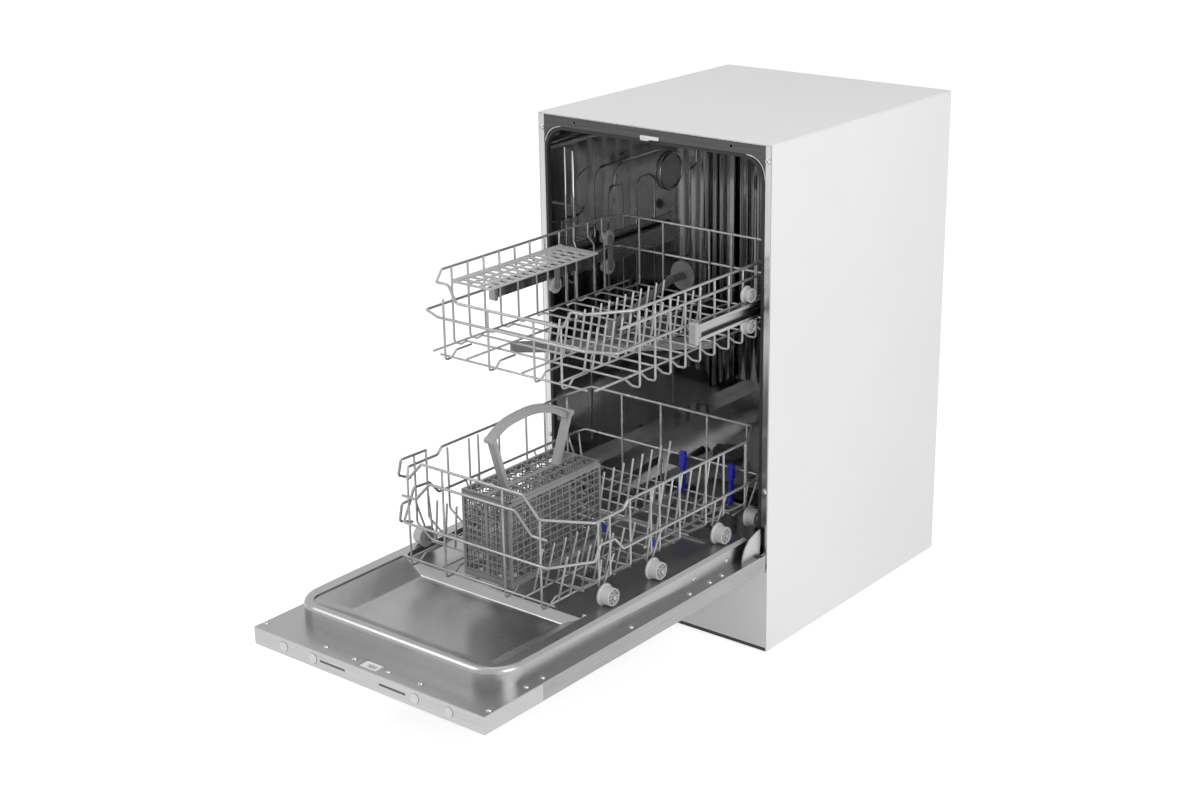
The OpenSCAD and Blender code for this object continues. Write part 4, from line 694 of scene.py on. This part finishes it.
def lower_rack():
    walls = bmesh.new()
    zt = LOWER_TOP
    rim = [(98, LOWER_YF, zt + 31), (128, LOWER_YF, zt), (HALF, LOWER_YF + CUT_Y, zt - 10),
           (HALF, -305, zt - 10), (HALF, -295, zt), (HALF, LOWER_YR - CUT_X, zt),
           (HALF - 21, LOWER_YR, zt + 8)]
    rod(walls, ring(rim), RIM_R, 7, True)
    second = [(83, LOWER_YF, zt + 3), (113, LOWER_YF, zt - 28), (HALF - CUT_X, LOWER_YF, zt - 28)]
    rod(walls, other_side(second) + second, RIM_R, 7)
    mid = [(HALF - CUT_X, LOWER_YF, 276), (HALF, LOWER_YF + CUT_Y, 278), (HALF, -360, 300), (HALF, -326, 298),
           (HALF, -306, 276), (HALF, LOWER_YR - CUT_X / 3, 275), (HALF - CUT_X / 6, LOWER_YR, 277)]
    rod(walls, ring(mid), RIM_R, 6, True)
    # The left wall's two loops, which stand out in front of it
    rod(walls, [(-HALF, -330, 352), (-HALF, -384, 353), (-HALF, -391, 330), (-HALF, -366, 318)], RIM_R, 4)
    rod(walls, [(-HALF, -364, 283), (-HALF, -387, 282), (-HALF, -393, 256), (-HALF, -366, 246)], RIM_R, 4)
    side = HALF - WELD
    foot = side - TUCK
    for s in (-1, 1):
        for y in SIDE_ROWS:
            top = zt + 4 if s < 0 and y < -325 else zt - 4 if y > -300 else zt - 10
            rod(walls, [(s * side, y, top), (s * side, y, 243), (s * foot, y, LOWER_FLOOR + 3.4),
                        (s * (foot - 26), y, LOWER_FLOOR + 3.4)], WIRE_R, 7)
    front, rear = LOWER_YF + WELD, LOWER_YR - WELD
    loop, under = LOWER_FLOOR - LOW_LOOP, LOWER_FLOOR - 2.7
    for share in (-0.72, -0.33, 0.31, 0.69):
        x = share * HALF
        top = zt + 31 if abs(x) < 98 else zt
        rod(walls, [(x, front, top), (x, front, loop), (x, front + 16, loop), (x, front + 30, under),
                    (x, LOWER_YF + 70, under)], WIRE_R, 5)
    for x in (-94, -14, 78, 155):
        rod(walls, [(x, rear, zt + 8), (x, rear, LOWER_FLOOR), (x, LOWER_YR - 40, under)], WIRE_R, 5)
    for s in (-1, 1):
        for y in WHEEL_Y:
            # Two bent wires hang the wheel's pin from the middle rim
            for dy in (-7, 7):
                rod(walls, [(s * HALF, y + 2 * dy, 276), (s * (WHEEL_X0 - 3), y + dy, WHEEL_Z + 16),
                            (s * (WHEEL_X0 - 3), y, WHEEL_Z)], WIRE_R, 5)
            lathe(walls, (s * (WHEEL_X0 - 6), y, WHEEL_Z), (s, 0, 0), AXLE, 24)
    floor = bmesh.new()
    rows = [LOWER_YR - CUT_X - k * PITCH for k in range(11)]
    for y in rows + [front, rear]:
        rod(floor, [(-foot, y, LOWER_FLOOR), (foot, y, LOWER_FLOOR)], WIRE_R)
    low = LOWER_FLOOR - LAP
    for share in (-0.92, -0.5, -0.04, 0.61, 0.92):
        rod(floor, [(share * foot, front, low), (share * foot, rear, low)], WIRE_R)
    for share in (0.61, 0.92):
        x = share * foot
        for k in range(1, 8):
            y = LOWER_YF + k * 26
            rod(floor, [(x, y, low), (x + 7, y + 14, LOWER_FLOOR + TINE_TOP)], WIRE_R)
    for share in (-0.78, -0.67, -0.56):
        x, y = share * HALF, rows[-1]
        rod(floor, [(x, y, LOWER_FLOOR), (x - 7, y + 14, LOWER_FLOOR + TINE_TOP)], WIRE_R)
    piece("lower_wires_floor", floor, MATS["wire_coat"], "lower_rack", ("lower_rack_floor",))
    piece("lower_wires", walls, MATS["wire_coat"], "lower_rack", ("lower_rack_walls",))


TINES = 8
TINE_PITCH = 24.0
TINE_LEAN = 22.0


def tine_row(node, x):
    bm = bmesh.new()
    z = LOWER_FLOOR + WIRE_R + RIM_R + 0.3
    lo, hi = span(node)
    rod(bm, [(x, lo[1] + 1, z), (x, hi[1] - 1, z)], RIM_R)
    for k in range(TINES):
        y = lo[1] + 5 + k * TINE_PITCH
        rod(bm, [(x, y, z), (x, y + TINE_LEAN * 0.2, z + 20), (x, y + TINE_LEAN, hi[2])], WIRE_R, 30)
    piece(node + "_wires", bm, MATS["wire_coat"], node, (node,))


BORE = 2.48
SPOKES = 8
WHEEL_NODES = ("wheels_front", "wheels_mid_front", "wheels_mid_rear", "wheels_rear")
WHEEL_PROFILE = [
    (0, BORE), (0, 15.6), (0.6, 16.6), (1.6, 17.0), (2.9, 17.0), (3.7, 16.4), (4.3, 14.6), (5.0, 14.0),
    (18.4, 13.4), (19.2, 13.1), (19.5, 12.6), (19.5, 12.0), (19.0, 11.6), (8.5, 11.4), (8.5, 5.2),
    (18.2, 4.8), (18.8, 4.3), (18.8, BORE),
]
ROLLERS = {
    "rollers_front_top": ROLLER_Y[0], "rollers_front_bottom": ROLLER_Y[0],
    "rollers_rear_top": ROLLER_Y[1], "rollers_rear_bottom": ROLLER_Y[1],
}
ROLLER_X0 = 184.5
ROLLER_PROFILE = [
    (0, BORE), (0, 12.2), (0.6, 13.2), (1.6, 13.7), (2.8, 13.5), (3.6, 12.2), (4.2, 10.9), (5.0, 10.7),
    (12.4, 10.7), (13.2, 10.3), (13.5, 9.7), (13.4, 9.1), (12.8, 8.8), (6.5, 8.6), (6.5, 4.6),
    (12.6, 4.2), (13.2, 3.7), (13.2, BORE),
]


def loop_lathe(bm, centre, axis, profile, sides):
    """A turned ring: the profile closes on itself round the bore."""
    axis, u, v = axes(axis)
    origin = at(*centre)
    rings = [[bm.verts.new(origin + axis * along * MM + (u * math.cos(a) + v * math.sin(a)) * radius * MM)
              for a in turns(sides)] for along, radius in profile]
    for low, high in zip(rings, rings[1:] + rings[:1]):
        skin(bm, low, high)


def spoke(bm, centre, axis, angle, inner, outer, front, back, width):
    """A thin rib across a wheel's pocket."""
    axis, u, v = axes(axis)
    out = u * math.cos(angle) + v * math.sin(angle)
    side = axis.cross(out)
    origin = at(*centre)
    box(bm, [bm.verts.new(origin + (axis * d + out * r + side * w) * MM)
             for d in (back, front) for r in (inner, outer) for w in (-width / 2, width / 2)])


def lower_wheels():
    for node, y in zip(WHEEL_NODES, WHEEL_Y):
        bm = bmesh.new()
        for s in (-1, 1):
            centre = (s * WHEEL_X0, y, WHEEL_Z)
            loop_lathe(bm, centre, (s, 0, 0), WHEEL_PROFILE, 48)
            for angle in turns(SPOKES):
                spoke(bm, centre, (s, 0, 0), angle, 4.6, 11.8, 18.2, 8.0, 1.2)
        piece(node + "_turned", bm, MATS["light_plastic"], node, (node,), sharp=40)


def upper_rollers():
    for node, y in ROLLERS.items():
        lo, hi = span(node)
        z = (lo[2] + hi[2]) / 2
        bm = bmesh.new()
        for s in (-1, 1):
            centre = (s * ROLLER_X0, y, z)
            loop_lathe(bm, centre, (s, 0, 0), ROLLER_PROFILE, 48)
            for angle in turns(SPOKES):
                spoke(bm, centre, (s, 0, 0), angle, 4.0, 9.0, 12.3, 6.0, 1.0)
        piece(node + "_turned", bm, MATS["light_plastic"], node, (node,), sharp=40)


lower_rack()
tine_row("tine_row_left", 35)
tine_row("tine_row_right", 130)
lower_wheels()
upper_rollers()


# Cutlery basket

BASKET_LO, BASKET_HI = span("cutlery_basket")


def bar(bm, a, b, w, d, normal):
    """A flat bar from a to b, w wide in its plane and d thick along the normal."""
    pa, pb = Vector(a), Vector(b)
    run = (pb - pa).normalized()
    normal = Vector(normal)
    side = run.cross(normal) * (w / 2)
    thick = normal * (d / 2)
    box(bm, [bm.verts.new(at(*(p + sx * side + sd * thick)))
             for p in (pa, pb) for sx in (-1, 1) for sd in (-1, 1)])


def lattice(bm, origin, u, v, w, h, nu, nv, bar_w, t, posts=()):
    """A moulded grid in the plane of u and v, with a stouter frame and posts at shares of its width."""
    origin, u, v = Vector(origin), Vector(u), Vector(v)
    n = u.cross(v)
    edge = 2.2 * bar_w
    for i in range(nu + 1):
        p = origin + u * (w * i / nu)
        ends = i in (0, nu)
        p += u * (edge / 2 * (1 if i == 0 else -1)) if ends else Vector()
        bar(bm, p, p + v * h, edge if ends else bar_w, t if ends else t * 0.8, n)
    for j in range(nv + 1):
        p = origin + v * (h * j / nv)
        ends = j in (0, nv)
        p += v * (edge / 2 * (1 if j == 0 else -1)) if ends else Vector()
        bar(bm, p, p + u * w, edge if ends else bar_w, t if ends else t * 0.9, n)
    for share in posts:
        p = origin + u * (w * share)
        bar(bm, p, p + v * h, 1.6 * edge, t, n)


def basket():
    bm = bmesh.new()
    (x0, y0, z0), (x1, y1, z1) = BASKET_LO, BASKET_HI
    t = 2.2
    w, length, h = x1 - x0, y1 - y0, z1 - z0
    # Cells across, lengthwise and upwards
    nu, nl, nv = 10, 14, 12
    for y in (y0 + t / 2, y1 - t / 2):
        lattice(bm, (x0, y, z0), (1, 0, 0), (0, 0, 1), w, h, nu, nv, 1.4, t, (0.5,))
    for x in (x0 + t / 2, x1 - t / 2):
        lattice(bm, (x, y0, z0), (0, 1, 0), (0, 0, 1), length, h, nl, nv, 1.4, t)
    # Bands along the foot and the mouth, and posts at the corners
    for z, deep in ((z0 + 4.5, 9), (z1 - 3, 6)):
        for y in (y0 + t / 2, y1 - t / 2):
            bar(bm, (x0, y, z), (x1, y, z), deep, t + 0.3, (0, 1, 0))
        for x in (x0 + t / 2, x1 - t / 2):
            bar(bm, (x, y0, z), (x, y1, z), deep, t + 0.3, (1, 0, 0))
    for x in (x0 + 2.2, x1 - 2.2):
        for y in (y0 + 2.2, y1 - 2.2):
            bar(bm, (x, y, z0), (x, y, z1), 4.6, 4.6, (0, 1, 0))
    lattice(bm, (x0, y0, z0 + t / 2), (1, 0, 0), (0, 1, 0), w, length, nu // 2, nl // 2, 2.4, t)
    # Walls between the bays, lower than the basket
    inside = h - 8
    lattice(bm, ((x0 + x1) / 2, y0 + t, z0 + t), (0, 1, 0), (0, 0, 1),
            length - 2 * t, inside, nl, nv // 2, 1.6, t)
    for share in (1 / 3, 2 / 3):
        lattice(bm, (x0 + t, y0 + length * share, z0 + t), (1, 0, 0), (0, 0, 1),
                w - 2 * t, inside, nu, nv // 2, 1.6, t)
    piece("basket_lattice", bm, EXTRA["basket"], "basket", ("cutlery_basket",))


def curve(points, steps=6):
    """A smooth path through points of a plane."""
    out = []
    ends = [points[0]] + points + [points[-1]]
    for p, q, r, t in zip(ends, ends[1:], ends[2:], ends[3:]):
        for k in range(steps):
            u = k / steps
            out.append(tuple(0.5 * (2 * q[i] + (r[i] - p[i]) * u
                                    + (2 * p[i] - 5 * q[i] + 4 * r[i] - t[i]) * u * u
                                    + (3 * q[i] - p[i] - 3 * r[i] + t[i]) * u ** 3) for i in (0, 1)))
    return out + [points[-1]]


def profile_sweep(bm, x, path, section):
    """A moulded section, listed as (across, out), swept along a path of (y, z)."""
    rings = []
    for i, (y, z) in enumerate(path):
        before, after = path[max(i - 1, 0)], path[min(i + 1, len(path) - 1)]
        dy, dz = after[0] - before[0], after[1] - before[1]
        length = math.hypot(dy, dz)
        ny, nz = -dz / length, dy / length
        rings.append([bm.verts.new(at(x + a, y + ny * b, z + nz * b)) for a, b in section])
    for low, high in zip(rings, rings[1:]):
        skin(bm, low, high)
    bm.faces.new(rings[0])
    bm.faces.new(rings[-1])


# Sections of the handle, as (across, out), its arch as (y, z), and the pin where the arch meets a leg
ARCH_RIB = [(-7.5, 0), (7.5, 0), (7.5, -2.6), (2.2, -3.2),
            (2.2, -12), (-2.2, -12), (-2.2, -3.2), (-7.5, -2.6)]
LEG_CHANNEL = [(-6.5, 3), (6.5, 3), (6.5, -4), (4.7, -4), (4.7, 0), (-4.7, 0), (-4.7, -4), (-6.5, -4)]
ARCH_START = [(-406, 434), (-397, 443), (-370, 455)]
ARCH_END = [(-280, 454), (-252, 443), (-227, 427)]
HANDLE_PIN = [(0, 0), (0.4, 4.2), (1.2, 4.8), (13.8, 4.8), (14.6, 4.2), (15, 0)]


def basket_lid():
    """The lid's frame and chevrons, and the arched handle with its ribbed section."""
    (x0, y0, z0), (x1, y1, z1) = span("basket_lid")
    z0 = BASKET_HI[2] + 0.3
    t = 2.8
    z = z0 + t / 2
    up = (0, 0, 1)
    mid = (x0 + x1) / 2
    bm = bmesh.new()
    for y in (y0 + 2.2, y1 - 2.2):
        bar(bm, (x0, y, z), (x1, y, z), 4.4, t, up)
    for x, wide in ((x0 + 2.2, 4.4), (x1 - 2.2, 4.4), (mid, 9)):
        bar(bm, (x, y0 + 0.2, z), (x, y1 - 0.2, z), wide, t * 0.94, up)
    cells, columns = 8, 4
    pitch = (y1 - y0 - 8.8) / cells
    for s in (-1, 1):
        inner, outer = mid + s * 4.5, (x1 if s > 0 else x0) - s * 4.4
        for k in range(1, cells):
            y = y0 + 4.4 + k * pitch
            bar(bm, (inner, y, z), (outer, y, z), 1.8, t * 0.82, up)
        wide = (outer - inner) / columns
        for j in range(columns):
            a, b = inner + j * wide, inner + (j + 1) * wide
            for k in range(2 * cells):
                y = y0 + 4.4 + k * pitch / 2
                ends = (y, y + pitch / 2) if j % 2 else (y + pitch / 2, y)
                bar(bm, (a, ends[0], z), (b, ends[1], z), 1.3, t * 0.7, up)
    piece("lid_lattice", bm, EXTRA["basket"], "basket", ("basket_lid",))
    bm = bmesh.new()
    arch = ARCH_START + [(-340, z1 - 0.8), (-310, z1 - 0.4)] + ARCH_END
    profile_sweep(bm, mid, curve(arch), ARCH_RIB)
    for foot, head in (((-375, z0), (-401, 436)), ((-262, z0), (-231, 428))):
        path = [(foot[0] + (head[0] - foot[0]) * k / 6, foot[1] + (head[1] - foot[1]) * k / 6)
                for k in range(7)]
        profile_sweep(bm, mid, path, LEG_CHANNEL)
    for y, z in ((-405, 435), (-228, 427)):
        lathe(bm, (mid - 7.5, y, z), (1, 0, 0), HANDLE_PIN, 24)
    # Its lighter grey is painted highlight on the basket's plastic.
    piece("handle", bm, EXTRA["handle"], "basket", ("basket_lid",))


basket()
basket_lid()


# Screws and washers

FLANGE_SCREWS = (
    (-217, -640), (-92, -640), (-33, -642), (33, -642), (92, -640), (217, -640),
    (213, -560), (213, -526), (-213, -560), (-213, -526), (213, -330), (-213, -330),
    (213, -189), (-213, -189), (213, -138), (-213, -138), (213, -107), (-213, -107),
)
STRIP_X = 216.6
WASHER = [(-0.1, 0), (-0.1, 5.0), (0.7, 5.0), (0.9, 4.8), (0.9, 0)]
# Rings of a pan head, as shares of its radius and of its height
HEAD = ((1.0, 0.35), (0.86, 0.8), (0.62, 1.0))


def screw(bm, place, axis, radius, height):
    """A pan head with a cross recess."""
    axis, u, v = axes(axis)
    origin = at(*place)
    levels = [(radius, -0.05)] + [(wide * radius, high * height) for wide, high in HEAD]
    rings = [[bm.verts.new(origin + (u * math.cos(a) + v * math.sin(a)) * r * MM + axis * along * MM)
              for a in turns(24)] for r, along in levels]
    for low, high in zip(rings, rings[1:]):
        skin(bm, low, high)
    a, b = 0.14 * radius, 0.46 * radius
    plan = [(b, -a), (b, a), (a, a), (a, b), (-a, b), (-a, a),
            (-b, a), (-b, -a), (-a, -a), (-a, -b), (a, -b), (a, -a)]
    top = [bm.verts.new(origin + (u * p + v * q) * MM + axis * height * MM) for p, q in plan]
    deep = [bm.verts.new(origin + (u * p * 0.7 + v * q * 0.7) * MM + axis * height * 0.35 * MM)
            for p, q in plan]
    edges = []
    for loop in (rings[-1], top):
        for pair in zip(loop, loop[1:] + loop[:1]):
            edges.append(bm.edges.get(pair) or bm.edges.new(pair))
    bmesh.ops.triangle_fill(bm, use_beauty=True, edges=edges)
    skin(bm, top, deep)
    bm.faces.new(deep)


def screws():
    bm = bmesh.new()
    for x, y in FLANGE_SCREWS:
        screw(bm, (x, y, FLANGE_Z), (0, 0, 1), 4.3, 2.0)
    for s in (-1, 1):
        for z in (790, 272):
            lathe(bm, (s * STRIP_X, 0, z), (0, -1, 0), WASHER, 32)
            screw(bm, (s * STRIP_X, -0.8, z), (0, -1, 0), 4.0, 2.0)
        for y in (-165, -80):
            screw(bm, (s * 203, y, 181), (s, 0, 0), 4.2, 2.0)
    piece("screws", bm, EXTRA["screw"], "cabinet")


screws()


# Pressings of the tub and the polished bar over its mouth

TUB_X, TUB_REAR = -206.0, 508.0
# The height where the upper beads end, and the heights between which the flutes run
BEAD_FOOT = 470
FLUTE_Z = (236, 752)
FLUTE_STEPS = 8


def wall_bead(bm, path, radius, bend):
    """A raised bead on the tub's left wall, along (y, z) points."""
    rod(bm, [(TUB_X - radius * 0.35, y, z) for y, z in path], radius, bend)


def flutes(bm, start, pitch, count, depth, place):
    """A band of shallow upright flutes. place(u, d) is the point at u along the wall and d out of it."""
    waves = [(start + pitch * k / FLUTE_STEPS, depth * (1 - math.cos(2 * math.pi * k / FLUTE_STEPS)) / 2)
             for k in range(count * FLUTE_STEPS + 1)]
    outline = waves + [(waves[-1][0], -0.4), (start, -0.4)]
    low, high = [[bm.verts.new(at(*place(u, d), z)) for u, d in outline] for z in FLUTE_Z]
    bm.faces.new(low)
    bm.faces.new(high)
    skin(bm, low, high)


def tub_pressings():
    bm = bmesh.new()
    foot = BEAD_FOOT
    wall_bead(bm, [(63, foot), (63, 742)], 4.0, 6)
    wall_bead(bm, [(43, foot), (43, 752)], 2.2, 6)
    wall_bead(bm, [(116, foot), (116, 703), (292, 703)], 2.6, 24)
    wall_bead(bm, [(152, foot), (152, 665), (192, 665), (192, foot)], 2.4, 14)
    wall_bead(bm, [(229, foot), (229, 667), (279, 667), (279, foot)], 2.6, 16)
    wall_bead(bm, [(382, foot), (382, 656), (401, 656), (401, 705), (424, 705), (424, foot)], 2.6, 12)
    flutes(bm, 436, 22, 3, 3.0, lambda u, d: (TUB_X + d, u))
    wall_bead(bm, [(100, 236), (100, 400), (330, 400), (330, 236)], 2.6, 26)
    flutes(bm, -196, 24, 5, 1.6, lambda u, d: (u, TUB_REAR - d))
    piece("tub_pressings", bm, EXTRA["tub"], "cabinet")
    bm = bmesh.new()
    # The raised rim of the air break's cap
    vent = [(TUB_X + 4.5, 320 + 31 * math.cos(a), 662 + 31 * math.sin(a)) for a in turns(40)]
    rod(bm, vent, 2.0, 2, True)
    piece("vent_ring", bm, EXTRA["tub"], "cabinet")


MOUTH_HALF, MOUTH_TOP, MOUTH_R = 211.4, 796.3, 30.0
BAR_TOP = 812.4
HOLE_X, HOLE_Z, HOLE_R = 150, 804.75, 2.4
RIM_BEAD_R = 1.2


def mouth_trim():
    """The polished sheet over the tub's mouth, with its two rounded corners and its fixing holes."""
    bm = bmesh.new()
    arc = [(MOUTH_HALF - MOUTH_R + MOUTH_R * math.cos(a), MOUTH_TOP - MOUTH_R + MOUTH_R * math.sin(a))
           for a in turns(40)[:11]]
    outline = [(MOUTH_HALF, BAR_TOP)] + arc
    outline += [(-x, z) for x, z in reversed(outline)]
    holes = [[(s * HOLE_X + HOLE_R * math.cos(a), HOLE_Z + HOLE_R * math.sin(a)) for a in turns(16)]
             for s in (-1, 1)]
    edges = []
    for loop in [outline] + holes:
        verts = [bm.verts.new(at(x, -0.05, z)) for x, z in loop]
        edges += [bm.edges.new((verts[k], verts[(k + 1) % len(verts)])) for k in range(len(verts))]
    bmesh.ops.triangle_fill(bm, use_beauty=True, edges=edges)
    grown = bmesh.ops.extrude_face_region(bm, geom=list(bm.faces))
    for v in grown["geom"]:
        if isinstance(v, bmesh.types.BMVert):
            v.co.y -= 0.5 * MM
    # Its near-black steel is a painted dark reflection, not the colour of polished steel.
    piece("mouth_trim", bm, EXTRA["trim"], "cabinet")
    bm = bmesh.new()
    r = RIM_BEAD_R
    half, top = MOUTH_HALF - r, MOUTH_TOP - r
    rod(bm, [(-half, r, 240), (-half, r, top), (half, r, top), (half, r, 240)], r, MOUTH_R)
    piece("mouth_rim", bm, EXTRA["screw"], "cabinet")


tub_pressings()
mouth_trim()


# Stage

def seen_directly(tree):
    """One for what is seen, straight, in a mirror or through glass, and zero for the light that falls."""
    path = tree.nodes.new("ShaderNodeLightPath")
    total = path.outputs["Is Camera Ray"]
    for name in ("Is Glossy Ray", "Is Transmission Ray"):
        node = tree.nodes.new("ShaderNodeMath")
        node.operation = "MAXIMUM"
        tree.links.new(total, node.inputs[0])
        tree.links.new(path.outputs[name], node.inputs[1])
        total = node.outputs[0]
    return total


def make_floor():
    bpy.ops.mesh.primitive_plane_add(size=30, location=(0, 0, -0.0003))
    floor = bpy.context.object
    floor.name = "floor"
    mat, tree, shader, coords = new_material("floor_white")
    shader.inputs["Base Color"].default_value = (0.86, 0.86, 0.86, 1)
    shader.inputs["Roughness"].default_value = 0.9
    shader.inputs["Specular IOR Level"].default_value = 0.1
    glow = tree.nodes.new("ShaderNodeEmission")
    tree.links.new(seen_directly(tree), glow.inputs["Strength"])
    glow.inputs["Color"].default_value = (0.62, 0.62, 0.62, 1)
    both = tree.nodes.new("ShaderNodeAddShader")
    tree.links.new(shader.outputs["BSDF"], both.inputs[0])
    tree.links.new(glow.outputs["Emission"], both.inputs[1])
    tree.links.new(both.outputs["Shader"], tree.nodes["Material Output"].inputs["Surface"])
    floor.data.materials.append(mat)


def make_world():
    world = bpy.data.worlds.new("world")
    bpy.context.scene.world = world
    world.use_nodes = True
    tree = world.node_tree
    lit = tree.nodes["Background"]
    lit.inputs["Color"].default_value = (1, 1, 1, 1)
    lit.inputs["Strength"].default_value = 0.5
    seen = tree.nodes.new("ShaderNodeBackground")
    seen.inputs["Color"].default_value = (1, 1, 1, 1)
    seen.inputs["Strength"].default_value = 1.0
    mix = tree.nodes.new("ShaderNodeMixShader")
    tree.links.new(seen_directly(tree), mix.inputs["Fac"])
    tree.links.new(lit.outputs["Background"], mix.inputs[1])
    tree.links.new(seen.outputs["Background"], mix.inputs[2])
    tree.links.new(mix.outputs["Shader"], tree.nodes["World Output"].inputs["Surface"])


make_floor()
make_world()
area_light("key", (-1.6, -2.6, 2.4), (0, -0.3, 0.4), 1.4, 26)
area_light("side", (2.9, -0.9, 1.5), (0.2, 0.0, 0.4), 1.8, 38)
area_light("top", (0, -0.4, 3.0), (0, -0.2, 0), 1.8, 6)
bpy.context.scene.view_settings.view_transform = "Standard"
